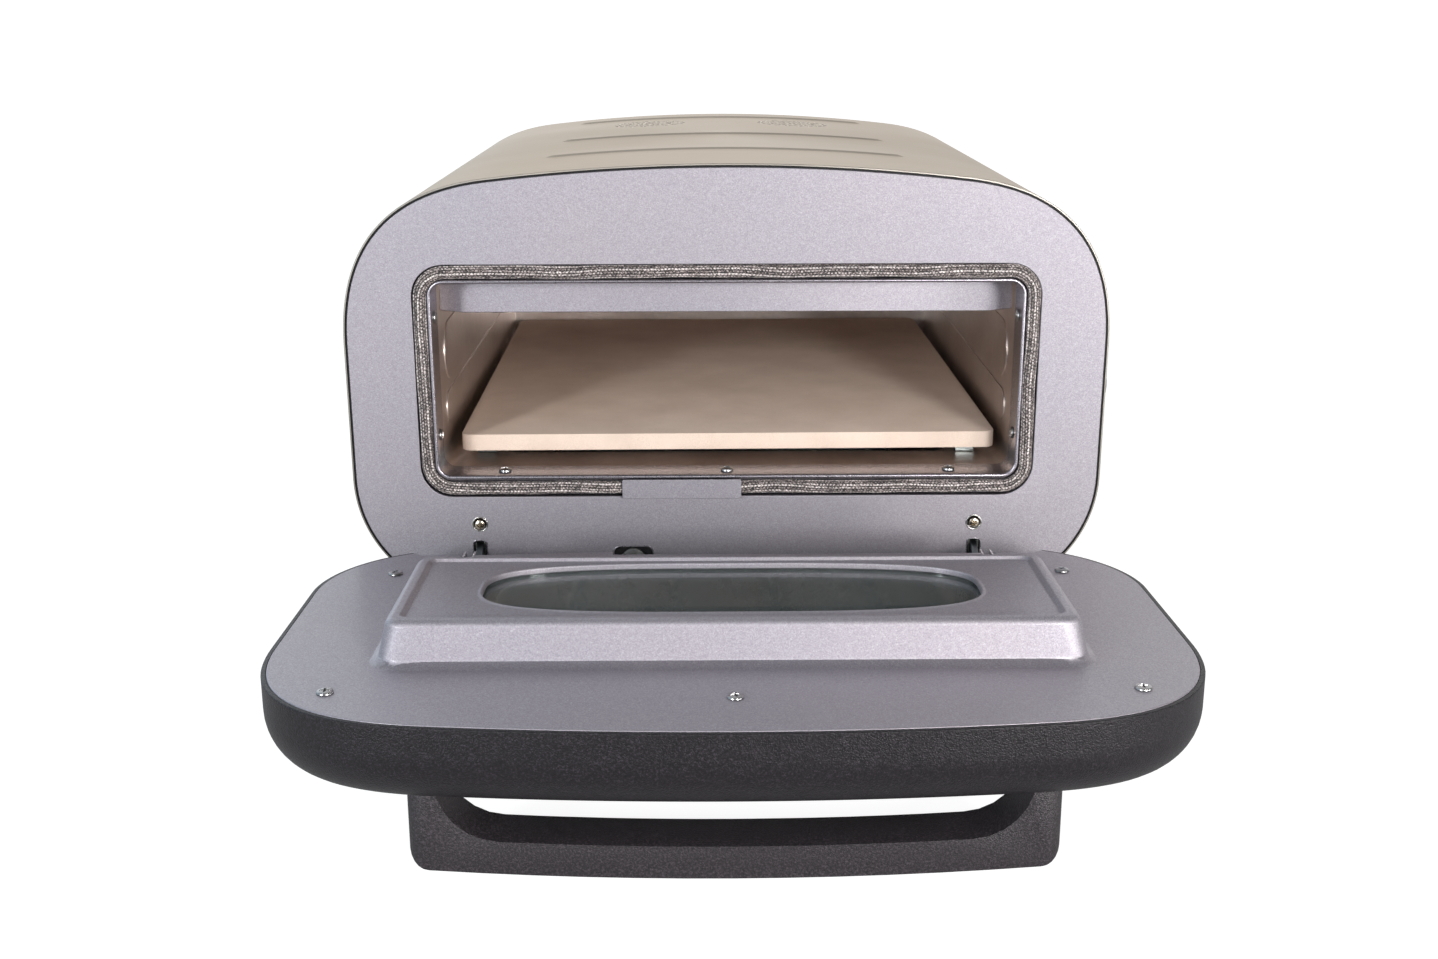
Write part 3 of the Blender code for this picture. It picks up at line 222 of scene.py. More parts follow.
def textured_black(name, colour, rough, grain, depth, shine=0.35, fleck=1.6):
    """Pimpled black paint or plastic with paler tips."""
    dark_share, spread = 0.55, 0.09
    look = Look(name, Metallic=0.0, Specular_IOR_Level=shine)
    pimples = look.cells(grain, "Distance")
    fine = look.noise(grain * 0.8, 3.0, 0.65)
    patch = look.noise(12.0, 2.0, 0.5)
    height = look.math("ADD", look.level(pimples, 0.0, 0.7, 1.0, 0.0),
                       look.math("MULTIPLY", fine, 0.8))
    dark = tuple(c * dark_share for c in colour)
    pale = tuple(c * fleck for c in colour)
    grainy = look.ramp(fine, [(0.34, dark), (0.52, colour), (0.68, pale)])
    tone = look.ramp(patch, [(0.3, (0.9, 0.9, 0.9)), (0.7, (1.0, 1.0, 1.0))])
    look.set(Base_Color=look.tinted(grainy, tone),
             Roughness=look.level(fine, 0.3, 0.7, rough - spread, rough + spread),
             Normal=look.bump(height, depth, 0.9))
    return look.material


def fired_stone():
    """Cordierite: mottled, sandy and slightly porous."""
    look = Look("fired_stone", Metallic=0.0, Specular_IOR_Level=0.25)
    mottle = look.noise(30.0, 5.0, 0.6)
    grain = look.noise(2400.0, 3.0, 0.7)
    pores = look.cells(520.0, "Distance")
    base = look.ramp(mottle, [(0.28, (0.82, 0.655, 0.54)), (0.72, (0.94, 0.77, 0.65))])
    speck = look.ramp(grain, [(0.28, (0.80, 0.785, 0.77)), (0.62, (1.0, 1.0, 1.0))])
    height = look.math("ADD", look.math("MULTIPLY", grain, 0.5),
                       look.level(pores, 0.0, 0.22, 0.0, 0.5))
    look.set(Base_Color=look.tinted(base, speck),
             Roughness=look.level(mottle, 0.3, 0.7, 0.74, 0.9),
             Normal=look.bump(height, 0.00012, 0.6))
    return look.material


def knitted_rope():
    """Glass-fibre yarn whose colour follows the stitches' height: painted shade in the gaps,
    painted highlight on the raised filaments.
    """
    look = Look("knitted_rope", Metallic=0.0, Specular_IOR_Level=0.6, Sheen_Weight=0.25,
                Sheen_Roughness=0.35)
    strand = look.split(look.cells(1250.0))
    fuzz = look.noise(850.0, 4.0, 0.75)
    broad = look.noise(120.0, 2.0, 0.6)
    # The stitches' height from the rope's mesh: low lift is painted shade in the gaps, high lift a
    # painted highlight on the stitches.
    lift_for_painted_light = look.add("ShaderNodeAttribute", {"attribute_name": "lift_for_painted_light"}).outputs["Fac"]
    mixed = look.math("ADD", look.mixed(strand[0], 0.3, fuzz, 0.4),
                      look.level(lift_for_painted_light, 0.15, 0.95, 0.0, 0.52))
    # Near-black in the gaps and near-white on the stitches: painted shade and painted highlight
    # over the yarn's own grey-brown.
    colour = look.ramp(mixed, [(0.42, (0.010, 0.008, 0.008)), (0.56, (0.095, 0.074, 0.071)),
                               (0.70, (0.40, 0.345, 0.33)), (0.86, (0.98, 0.92, 0.90))])
    tone = look.ramp(broad, [(0.3, (0.72, 0.71, 0.71)), (0.7, (1.1, 1.08, 1.06))])
    look.set(Base_Color=look.tinted(colour, tone),
             Roughness=look.level(strand[1], 0.0, 1.0, 0.36, 0.7),
             Normal=look.bump(mixed, 0.00025, 0.7))
    return look.material


def dark_glass(name, tint, rough, clear):
    """Smoked glass with a faint film of cooking haze."""
    haze_share, haze_rough = 0.75, 0.06
    look = Look(name, Metallic=0.0, Transmission_Weight=clear, IOR=1.5)
    film = look.noise(11.0, 4.0, 0.6, look.stretched(1.0, 0.2, 1.0))
    hazed = tuple(c * haze_share for c in tint)
    look.set(Base_Color=look.ramp(film, [(0.3, hazed), (0.7, tint)]),
             Roughness=look.level(film, 0.3, 0.7, rough, rough + haze_rough))
    return look.material


def fibre_wool():
    """Pale tufted insulation."""
    look = Look("fibre_wool", Metallic=0.0, Sheen_Weight=0.3)
    tufts = look.noise(160.0, 6.0, 0.7, distortion=1.2)
    look.set(Base_Color=look.ramp(tufts, [(0.3, (0.55, 0.51, 0.40)), (0.7, (0.78, 0.75, 0.66))]),
             Roughness=look.level(tufts, 0.3, 0.7, 0.85, 1.0), Normal=look.bump(tufts, 0.001, 0.8))
    return look.material


def lens_red():
    """The lamp's clouded red plastic."""
    look = Look("lens_red", Metallic=0.0, Transmission_Weight=0.35, IOR=1.49)
    cloud = look.noise(300.0, 2.0, 0.5)
    look.set(Base_Color=look.ramp(cloud, [(0.3, (0.50, 0.02, 0.015)), (0.7, (0.62, 0.035, 0.02))]),
             Roughness=look.level(cloud, 0.3, 0.7, 0.12, 0.2))
    return look.material


looks = {
    "silver_paint": sparkle_paint("silver_lacquer", 0.57, 0.70),
    "brushed_shell": brushed_steel(),
    "cavity_steel": plain_steel("cavity_steel", (0.68, 0.60, 0.555), (0.86, 0.78, 0.735), 0.35),
    "steel": plain_steel("zinced_steel", (0.52, 0.51, 0.50), (0.70, 0.69, 0.67), 0.27),
    "screw_metal": plain_steel("screw_metal", (0.52, 0.44, 0.34), (0.72, 0.64, 0.52), 0.22),
    "black_trim": textured_black("trim_black", (0.008, 0.007, 0.008), 0.5, 1500.0, 0.00003),
    "black_paint": textured_black("grained_black", (0.0100, 0.0080, 0.0104), 0.42, 1150.0, 0.00018,
                                  0.36, 3.6),
    "black_plastic": textured_black("moulded_black", (0.018, 0.017, 0.019), 0.42, 1800.0, 0.00005),
    "foot_rubber": textured_black("foot_rubber", (0.016, 0.016, 0.016), 0.75, 1200.0, 0.00010),
    "cordierite": fired_stone(),
    "rope": knitted_rope(),
    "wool": fibre_wool(),
    "window_glass": dark_glass("window_glass", (0.62, 0.68, 0.68), 0.02, 0.86),
    "red_lens": lens_red(),
}
throat_look = sparkle_paint("throat_lacquer", 0.26, 0.38)
screw_look = plain_steel("zinced_screw", (0.30, 0.30, 0.31), (0.50, 0.49, 0.48), 0.3)
# Dark steel of the hinge arms, also laid on the stone rails and element pieces as painted shade.
arm_steel_and_painted_shade = plain_steel("arm_steel", (0.17, 0.20, 0.205), (0.30, 0.335, 0.34), 0.34)
# A lighter copy of the door's grained black paint: painted light on the handle's upright front.
handle_painted_light_look = textured_black("handle_black_painted_light", (0.030, 0.025, 0.029), 0.50, 1150.0, 0.00018,
                             0.42, 2.4)
button_look = textured_black("button_grey", (0.135, 0.135, 0.135), 0.38, 1800.0, 0.00003,
                             0.5, 1.3)
outer_glass_look = dark_glass("outer_glass", (0.035, 0.042, 0.042), 0.04, 0.8)


# Outlines in the closed door's frame, the same curves as the part's source
SHIFT = Vector((-0.0096, -0.071202, 0.0))
CASE_LOW, CASE_HIGH, CASE_HALF, CASE_DEEP = 0.0430, 0.3166, 0.2333, 0.4560
ARCH, SHOULDER, FULLNESS, LOW_CORNER = 1.2350, 0.1000, 0.0041, 0.0800
DOOR_LOW = 0.0410
WINDOW = (0.1290, 0.0387, 0.1788, 3.2)
HINGE = Vector((0.0, -0.0464, 0.0488))
OPEN_ANGLE = radians(88.4)
MOUTH_HALF, MOUTH_LOW, MOUTH_HIGH, MOUTH_CORNER = 0.1791, 0.12535, 0.24565, 0.0080
MOUTH_MIDDLE = (MOUTH_LOW + MOUTH_HIGH) / 2
MOUTH_GROW_HIGH, MOUTH_GROW_LOW = 1.09, 0.11
LIP, CHANNEL_WIDTH, CHANNEL_OUT, CHANNEL_FLOOR = 0.0024, 0.0092, 0.0116, 0.0063
SHELL_SHEET, SHEET = 0.0009, 0.0012
RIB_MIDDLES = (0.10602, 0.23302, 0.41099)
ARM_X, SLOT_WIDTH, SLOT_HIGH = 0.1560, 0.0080, 0.0823
SLOT = (SLOT_WIDTH, 0.0313, 0.0020)
SLOT_Z = 0.06665
SWITCH = (0.0244, 0.0180, 0.0040)
SWITCH_X, SWITCH_Z = -0.0593, 0.0690
HINGE_SCREW_X, HINGE_SCREW_Z = 0.1555, 0.0935
CONTROLS_X, KNOB_Z, THERMOSTAT_Y, TIMER_Y = 0.2352, 0.1640, 0.084, 0.164
LAMP_Y, LAMP_Z = 0.124, 0.1980
DOOR_FACE = -0.0040
MERGE, FLAT = 0.000002, radians(0.4)
SHARP, SHARP_PRESSED = 32.0, 40.0


def arc(cx, cz, radius, start, end, steps):
    turns = [start + (end - start) * i / steps for i in range(steps + 1)]
    return [(cx + radius * cos(t), cz + radius * sin(t)) for t in turns]


def circle(cx, cz, radius, sides):
    return [(cx + radius * cos(tau * i / sides), cz + radius * sin(tau * i / sides))
            for i in range(sides)]


def arched(inset=0.0, low=CASE_LOW, fine=24):
    """The outline of case and door: low corners, swelling shoulders and a flat arch."""
    half = CASE_HALF - inset
    big = ARCH - inset
    shoulder = SHOULDER - inset
    corner = LOW_CORNER - inset
    arch_z = CASE_HIGH - inset - big
    sx = half - shoulder
    sz = arch_z + sqrt((big - shoulder) ** 2 - sx ** 2)
    meet = atan2(sz - arch_z, sx)
    right = arc(half - corner, low + inset + corner, corner, -pi / 2, 0.0, fine)
    for i in range(fine + 1):
        swell = shoulder + FULLNESS * sin(pi * i / fine) ** 2
        right.append((sx + swell * cos(meet * i / fine), sz + swell * sin(meet * i / fine)))
    arch_extra = 6
    steps = fine + arch_extra
    right += [(big * cos(meet + (pi / 2 - meet) * i / steps),
               arch_z + big * sin(meet + (pi / 2 - meet) * i / steps))
              for i in range(1, steps + 1)]
    return right + [(-x, z) for x, z in reversed(right[:-1])]


def rounded(width, height, radius, cx=0.0, cz=0.0, steps=10):
    x = width / 2 - radius
    z = height / 2 - radius
    points = []
    for k, (ax, az) in enumerate(((x, -z), (x, z), (-x, z), (-x, -z))):
        points += arc(cx + ax, cz + az, radius, pi / 2 * (k - 1), pi / 2 * k, steps)
    return points


def oval(grow=0.0, scale=1.0):
    """The window's outline."""
    half_x, half_z, middle, power = WINDOW
    sides = 96
    points = []
    for i in range(sides):
        c = cos(tau * i / sides)
        s = sin(tau * i / sides)
        x = (half_x * scale + grow) * abs(c) ** (2 / power)
        z = (half_z * scale + grow) * abs(s) ** (2 / power)
        points.append((x if c > 0 else -x, middle + (z if s > 0 else -z)))
    return points


def mouth(out):
    """The mouth's outline grown outward, slightly more at its foot."""
    return rounded(2 * (MOUTH_HALF + out), MOUTH_HIGH - MOUTH_LOW + 2 * out * MOUTH_GROW_HIGH,
                   MOUTH_CORNER + out, 0.0, MOUTH_MIDDLE - out * MOUTH_GROW_LOW)


def on_case(point):
    return Vector(point) + SHIFT


def on_door(point):
    """From the closed door's frame to where the open door is at rest."""
    x, y, z = point
    dy = y - HINGE.y
    dz = z - HINGE.z
    return Vector((x, HINGE.y + dy * cos(OPEN_ANGLE) - dz * sin(OPEN_ANGLE),
                   HINGE.z + dy * sin(OPEN_ANGLE) + dz * cos(OPEN_ANGLE))) + SHIFT


# Pieces
def link(obj):
    bpy.context.scene.collection.objects.link(obj)
    return obj


def meshed(name, verts, faces):
    mesh = bpy.data.meshes.new(name)
    mesh.from_pydata(verts, [], faces)
    return link(bpy.data.objects.new(name, mesh))


def dress(obj, node, material=None):
    """obj stands for a node: it rides on the node's body and takes the look of the node's slot, or
    the material given.
    """
    slot_name = nodes[node].data.materials[0].name.split(".")[0]
    obj.data.materials.clear()
    obj.data.materials.append(material or looks[slot_name])
    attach(obj, body_of[node])
    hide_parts(node)


def extra(obj, node, material, slot_name=None):
    """obj is an added detail that rides with a node's body."""
    obj.data.materials.clear()
    obj.data.materials.append(material)
    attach(obj, body_of[node])
    slot_name or nodes[node].data.materials[0].name.split(".")[0]


def smooth(mesh, sharp):
    old = mesh.attributes.get("custom_normal")
    if old is not None:
        mesh.attributes.remove(old)
    mesh.shade_smooth()
    mesh.set_sharp_from_angle(angle=radians(sharp))


def round_off(obj, edge, segments):
    rounder = obj.modifiers.new("rounder", "BEVEL")
    rounder.width = edge
    rounder.segments = segments
    rounder.limit_method = "ANGLE"
    rounder.angle_limit = radians(SHARP)
    rounder.harden_normals = True


def refined(node, edge, segments, material):
    """A copy of a node's mesh with merged faces, rounded edges and smooth curves."""
    mesh = bpy.data.meshes.new(node + "_fine")
    work = bmesh.new()
    work.from_mesh(nodes[node].data)
    bmesh.ops.remove_doubles(work, verts=work.verts, dist=MERGE)
    bmesh.ops.dissolve_limit(work, angle_limit=FLAT, verts=work.verts, edges=work.edges)
    work.to_mesh(mesh)
    work.free()
    smooth(mesh, SHARP)
    obj = link(bpy.data.objects.new(node + "_fine", mesh))
    round_off(obj, edge, segments)
    dress(obj, node, material)


def lofted(name, rings, closed=False, sharp=SHARP):
    """Joins rings of equally many points; closed joins the last ring to the first."""
    count = len(rings[0])
    verts = [tuple(point) for ring in rings for point in ring]
    faces = []
    for r in range(len(rings) if closed else len(rings) - 1):
        here = r * count
        there = (r + 1) % len(rings) * count
        for i in range(count):
            j = (i + 1) % count
            faces.append((here + i, here + j, there + j, there + i))
    if not closed:
        faces.append(tuple(reversed(range(count))))
        faces.append(tuple(range((len(rings) - 1) * count, len(rings) * count)))
    obj = meshed(name, verts, faces)
    work = bmesh.new()
    work.from_mesh(obj.data)
    bmesh.ops.recalc_face_normals(work, faces=work.faces)
    work.to_mesh(obj.data)
    work.free()
    smooth(obj.data, sharp)
    return obj


def cut(obj, *tools):
    """Cuts tools out of a piece and deletes them."""
    for tool in tools:
        knife = obj.modifiers.new("knife", "BOOLEAN")
        knife.object = tool
        knife.operation = "DIFFERENCE"
        knife.solver = "EXACT"
    bpy.context.view_layer.update()
    graph = bpy.context.evaluated_depsgraph_get()
    made = bpy.data.meshes.new_from_object(obj.evaluated_get(graph))
    old = obj.data
    obj.modifiers.clear()
    obj.data = made
    made.name = old.name
    bpy.data.meshes.remove(old)
    for tool in tools:
        shape = tool.data
        bpy.data.objects.remove(tool)
        bpy.data.meshes.remove(shape)
    smooth(obj.data, SHARP)


def at_y(outline, y, place):
    return [place((x, y, z)) for x, z in outline]


def cutter(outline, low, high, place=on_case):
    """A cutting block from an outline between two depths."""
    return lofted("cutter", [at_y(outline, low, place), at_y(outline, high, place)])


def along(outline, direction, middle):
    """Where a ray from a middle at x zero meets an outline around it."""
    dx, dz = direction
    for (ax, az), (bx, bz) in zip(outline, outline[1:] + outline[:1]):
        az -= middle
        bz -= middle
        across_a = ax * dz - az * dx
        across_b = bx * dz - bz * dx
        if across_a * across_b <= 0 and across_a != across_b:
            part = across_a / (across_a - across_b)
            x = ax + (bx - ax) * part
            z = az + (bz - az) * part
            if x * dx + z * dz > 0:
                return (x, z + middle)
    raise ValueError("an outline doesn't go round its middle")


def spread_out(directions):
    """Directions in order round a middle, with a least turn between neighbours."""
    least = radians(0.45)
    directions.sort(key=lambda d: atan2(d[1], d[0]) % tau)
    spread = [directions[0]]
    for d in directions[1:]:
        if Vector(d).angle(Vector(spread[-1])) > least:
            spread.append(d)
    return spread


def weighted(obj):
    """Flat faces stay flat beside rounded edges."""
    smooth(obj.data, SHARP_PRESSED)
    obj.modifiers.new("flats", "WEIGHTED_NORMAL").keep_sharp = True


# Case pieces
def swollen(x, y):
    """How far the shell stands out over its three pressed ribs."""
    half_length, proud, half_width, slope = 0.1110, 0.0010, 0.0042, 0.0016
    out = 0.0
    for middle in RIB_MIDDLES:
        across = abs(y - middle)
        over = max(0.0, abs(x) - half_length)
        reach = sqrt(across ** 2 + over ** 2)
        out = max(out, proud * min(1.0, max(0.0, (half_width - reach) / slope)))
    return out


def rosette_drill():
    """All the vent holes as one cutter."""
    rings, pitch, radius, sides = 4, 0.0086, 0.0025, 12
    middle_x, middle_y, low, high = 0.057, 0.353, 0.305, 0.325
    holes = []
    for side in (-1, 1):
        for step in range(rings):
            count = 6 * step or 1
            for k in range(count):
                holes.append((side * middle_x + pitch * step * cos(tau * k / count),
                              middle_y + pitch * step * sin(tau * k / count)))
    verts, faces = [], []
    for cx, cy in holes:
        start = len(verts)
        for z in (low, high):
            verts += [tuple(on_case((x, y, z))) for x, y in circle(cx, cy, radius, sides)]
        faces.append(tuple(start + i for i in reversed(range(sides))))
        faces.append(tuple(start + sides + i for i in range(sides)))
        faces += [(start + i, start + (i + 1) % sides, start + sides + (i + 1) % sides,
                   start + sides + i) for i in range(sides)]
    return meshed("drill", verts, faces)


def make_shell():
    """The wrapped sheet with its ribs, vents and the holes for the controls."""
    fine, rib_step, rib_from, edge_ease, edge_y = 30, 0.0008, 0.28, 0.0002, 0.0005
    outer = arched(fine=fine)
    inner = arched(SHELL_SHEET, fine=fine)
    ys = [0.0004, 0.0006, 0.0010]
    for middle in RIB_MIDDLES:
        ys += [middle + k * rib_step for k in range(-6, 7)]
    ys += [0.02, 0.05, 0.08, 0.14, 0.17, 0.20, 0.27, 0.31, 0.36, 0.38, 0.43, 0.45, CASE_DEEP]
    rings = []
    for y in sorted(ys):
        ease = edge_ease if y < edge_y else 0.0
        ring = []
        for (x, z), (ix, iz) in zip(outer, inner):
            out = swollen(x, y) if z > rib_from else 0.0
            share = (out - ease) / SHELL_SHEET
            ring.append(on_case((x + (x - ix) * share, y, z + (z - iz) * share)))
        ring += [on_case((x, y, z)) for x, z in reversed(inner)]
        rings.append(ring)
    shell = lofted("outer_shell_fine", rings, sharp=50.0)
    cut(shell, rosette_drill())
    sides, deep, out, shaft, lamp_hole = 24, 0.2290, 0.2373, 0.0033, 0.0043
    side_holes = []
    for y, z, radius in ((THERMOSTAT_Y, KNOB_Z, shaft), (TIMER_Y, KNOB_Z, shaft),
                         (LAMP_Y, LAMP_Z, lamp_hole)):
        hole = circle(y, z, radius, sides)
        rings = [[on_case((x, hole_y, hole_z)) for hole_y, hole_z in hole] for x in (deep, out)]
        side_holes.append(lofted("side_hole", rings))
    cut(shell, *side_holes)
    dress(shell, "outer_shell")


def rolled_rim(name, size, x, z):
    """A pale rolled edge round a cut-out of the front panel."""
    width, height, corner = size
    section = [(0.0, 0.0010), (0.0, 0.0001), (0.0001, -0.0001), (0.0003, -0.0002),
               (0.0006, -0.0002), (0.0008, -0.0001), (0.0009, 0.0002)]
    rings = [at_y(rounded(width + 2 * out, height + 2 * out, corner + out, x, z, 6), y, on_case)
             for out, y in section]
    extra(lofted(name, rings, True, 60.0), "front_panel", throat_look)


def screw_ring(name, side):
    """A bright ring round a hinge screw."""
    radius, half_width, proud, back, steps, sides = 0.0046, 0.0006, 0.0005, 0.0001, 12, 48
    rings = []
    for k in range(steps):
        turn = tau * k / steps
        outline = circle(side * HINGE_SCREW_X, HINGE_SCREW_Z, radius + half_width * cos(turn),
                         sides)
        rings.append(at_y(outline, -back - proud * sin(turn), on_case))
    extra(lofted(name, rings, True, 60.0), "front_panel", looks["steel"])


def make_front():
    """The panel in rings from its rim to the mouth, with rolled edges, then its holes."""
    rim, middle, screw_hole, cut_low, cut_high, sides = 0.0022, 0.1800, 0.0040, -0.002, 0.003, 24
    edge = [(0.0, 0.0012), (0.0, 0.0005), (0.00015, 0.00022), (0.0005, 0.0)]
    steps = [(arched(rim + move), y) for move, y in edge]
    steps += [(mouth(CHANNEL_OUT + move), y) for move, y in reversed(edge)]
    directions = []
    for shape, _ in (steps[0], steps[-1]):
        directions += [(x, z - middle) for x, z in shape]
    pitch, half_high, half_wide = 0.005, 0.065, 0.19
    directions += [(x * pitch, side) for side in (-half_high, half_high) for x in range(-36, 37)]
    directions += [(side, z * pitch) for side in (-half_wide, half_wide) for z in range(-12, 13)]
    spread = spread_out(directions)
    rings = []
    for outline, y in steps:
        rings.append([on_case((x, y, z)) for x, z in (along(outline, d, middle) for d in spread)])
    panel = lofted("front_panel_fine", rings, True, SHARP_PRESSED)
    tools = []
    for side in (-1, 1):
        tools.append(cutter(rounded(*SLOT, side * ARM_X, SLOT_Z, 6), cut_low, cut_high))
        tools.append(cutter(circle(side * HINGE_SCREW_X, HINGE_SCREW_Z, screw_hole, sides),
                            cut_low, cut_high))
    tools.append(cutter(rounded(*SWITCH, SWITCH_X, SWITCH_Z), cut_low, cut_high))
    cut(panel, *tools)
    weighted(panel)
    dress(panel, "front_panel")
    for name, size, x, z in (("left_slot_rim", SLOT, -ARM_X, SLOT_Z),
                             ("right_slot_rim", SLOT, ARM_X, SLOT_Z),
                             ("switch_rim", SWITCH, SWITCH_X, SWITCH_Z)):
        rolled_rim(name, size, x, z)
    for name, side in (("left", -1), ("right", 1)):
        screw_ring(f"hinge_screw_ring_{name}", side)
    section = [(0.0012, 0.0012), (0.0013, 0.0011), (0.0018, 0.0011), (0.0019, 0.0012),
               (0.0019, 0.0015), (0.0060, 0.0015), (0.0060, 0.0045), (0.0012, 0.0045)]
    rings = [at_y(arched(inset), y, on_case) for inset, y in section]
    dress(lofted("case_trim_fine", rings, True), "case_trim")


def make_throat():
    """The sheet from the cavity over its rolled lip to the rope's channel."""
    proud, back, bend, ease = 0.0008, 0.0215, 0.0010, 0.0003
    flange_y, flange_out, turns = 0.0015, 0.0208, 10
    floor_y, outer = CHANNEL_FLOOR, CHANNEL_OUT + SHEET
    half = LIP / 2
    sweep = [(0.0, back), (0.0, 0.0150)]
    sweep += [(half - half * cos(pi * k / turns), half - proud - half * sin(pi * k / turns))
              for k in range(turns + 1)]
    sweep += [(LIP, floor_y - bend), (LIP + ease, floor_y - ease), (LIP + bend, floor_y),
              (CHANNEL_OUT - bend, floor_y), (CHANNEL_OUT - ease, floor_y - ease),
              (CHANNEL_OUT, floor_y - bend), (CHANNEL_OUT, flange_y), (flange_out, flange_y),
              (flange_out, flange_y + SHEET), (outer, flange_y + SHEET),
              (outer, floor_y + SHEET), (SHEET, floor_y + SHEET), (SHEET, back)]
    rings = [at_y(mouth(out), y, on_case) for out, y in sweep]
    dress(lofted("oven_throat_fine", rings, True, SHARP_PRESSED), "oven_throat", throat_look)


def on_controls(y, up, out=0.0):
    """A point on the control panel, y along the case and up above the knobs' line."""
    return on_case((CONTROLS_X + out, y, KNOB_Z + up))


def make_ticks(name, y, ticks, long_every, turn):
    """Short and long marks round a knob."""
    near, far, far_long, half, half_long, raised = 0.0158, 0.0173, 0.0185, 0.0002, 0.0003, 0.00012
    verts, faces = [], []
    for k in range(ticks):
        angle = radians(90.0 - turn * k / (ticks - 1))
        c, s = cos(angle), sin(angle)
        long = k % long_every == 0
        reach = far_long if long else far
        wide = half_long if long else half
        start = len(verts)
        for out in (0.0, raised):
            for r, w in ((near, -wide), (reach, -wide), (reach, wide), (near, wide)):
                verts.append(tuple(on_controls(y + r * c - w * s, r * s + w * c, out)))
        faces += [tuple(start + i for i in quad)
                  for quad in ((3, 2, 1, 0), (4, 5, 6, 7), (0, 1, 5, 4),
                               (1, 2, 6, 5), (2, 3, 7, 6), (3, 0, 4, 7))]
    extra(meshed(name, verts, faces), "control_panel", looks["steel"], "steel")


def make_number(name, k, number, y, angle):
    """A number of a dial, standing upright on the control panel."""
    size, half_raised, reach = 0.0048, 0.00006, 0.0222
    words = bpy.data.curves.new(f"{name}_{k}", "FONT")
    words.body = str(number)
    words.size = size
    words.align_x = "CENTER"
    words.align_y = "CENTER"
    words.extrude = half_raised
    shape = bpy.data.objects.new(words.name, words)
    mesh = bpy.data.meshes.new_from_object(shape)
    bpy.data.objects.remove(shape)
    spot = on_controls(y + reach * cos(angle), reach * sin(angle), half_raised)
    mesh.transform(Matrix(((0, 0, 1, spot.x), (1, 0, 0, spot.y), (0, 1, 0, spot.z), (0, 0, 0, 1))))
    mesh.materials.clear()
    extra(link(bpy.data.objects.new(f"{name}_number_{k}", mesh)), "control_panel", looks["steel"],
          "steel")


def make_dials():
    """Ticks and numbers in raised pale print round the two knobs."""
    dials = (("thermostat", THERMOSTAT_Y, 29, 7, 400, 4, 280.0),
             ("timer", TIMER_Y, 31, 5, 30, 6, 300.0))
    for name, y, ticks, long_every, most, steps, turn in dials:
        make_ticks(f"{name}_ticks", y, ticks, long_every, turn)
        for k in range(steps + 1):
            make_number(name, k, round(most * k / steps), y, radians(90.0 - turn * k / steps))


def make_gasket():
    """A knitted rope: lengthwise columns of slanting stitches round a core."""
    gap, half_deep = 0.0003, 0.0043
    centre = LIP + CHANNEL_WIDTH / 2
    middle_y = CHANNEL_FLOOR - gap - half_deep
    core, ridge_rise, stitch_rise, stitch_length, widen = 0.00305, 0.00070, 0.00040, 0.0021, 1.02
    steps, around, columns = 1500, 78, 13
    corner = MOUTH_CORNER + centre
    half_x = MOUTH_HALF + centre
    half_z = (MOUTH_HIGH - MOUTH_LOW + 2 * centre * MOUTH_GROW_HIGH) / 2
    cz = MOUTH_MIDDLE - centre * MOUTH_GROW_LOW
    path = rounded(2 * half_x, 2 * half_z, corner, 0.0, cz, 24)
    points = [Vector((x, 0.0, z)) for x, z in path]
    lengths = [0.0]
    for a, b in zip(points, points[1:] + points[:1]):
        lengths.append(lengths[-1] + (b - a).length)
    total = lengths[-1]
    stitches = round(total / stitch_length)
    rings = []
    lifts_for_painted_light = []
    k = 0
    for i in range(steps):
        s = total * i / steps
        while lengths[k + 1] <= s:
            k += 1
        a = points[k]
        b = points[(k + 1) % len(points)]
        ahead = (b - a).normalized()
        place = a + ahead * (s - lengths[k])
        side = Vector((ahead.z, 0.0, -ahead.x))
        u = s / total * stitches
        # Whole numbers of waves, so that the rope's ends meet
        wave = 0.00022 * sin(tau * 9 * i / steps + 0.7) + 0.00014 * sin(tau * 23 * i / steps)
        twist = 0.22 * sin(tau * 5 * i / steps) + 0.12 * sin(tau * 14 * i / steps + 1.3)
        ring = []
        for j in range(around):
            turn = tau * j / around
            v = (turn + twist) / tau * columns
            column = v // 1
            local = 2 * abs(v - column - 0.5)
            ridge = sqrt(max(0.0, 1.0 - local ** 2 * 0.97))
            slant = u + 0.45 * local + 0.37 * column
            stitch = abs(sin(pi * (slant % 1)))
            thick = 0.82 + 0.18 * sin(column * 2.4 + 2.0 + 3 * tau * i / steps)
            rise = (ridge_rise * ridge + stitch_rise * stitch * ridge) * thick
            # The stitch height, kept on the mesh for the rope's painted shade in the gaps and
            # painted highlight on the raised stitches.
            lifts_for_painted_light.append(ridge * (0.45 + 0.55 * stitch) * thick)
            radius = core + rise
            out = radius * cos(turn) * widen + wave
            deep = Vector((0.0, middle_y + radius * sin(turn), 0.0))
            ring.append(on_case(place + side * out + deep))
        rings.append(ring)
    rope = lofted("door_gasket_knit", rings, True, 180.0)
    rope.data.attributes.new("lift_for_painted_light", "FLOAT", "POINT").data.foreach_set("value", lifts_for_painted_light)
    dress(rope, "door_gasket")


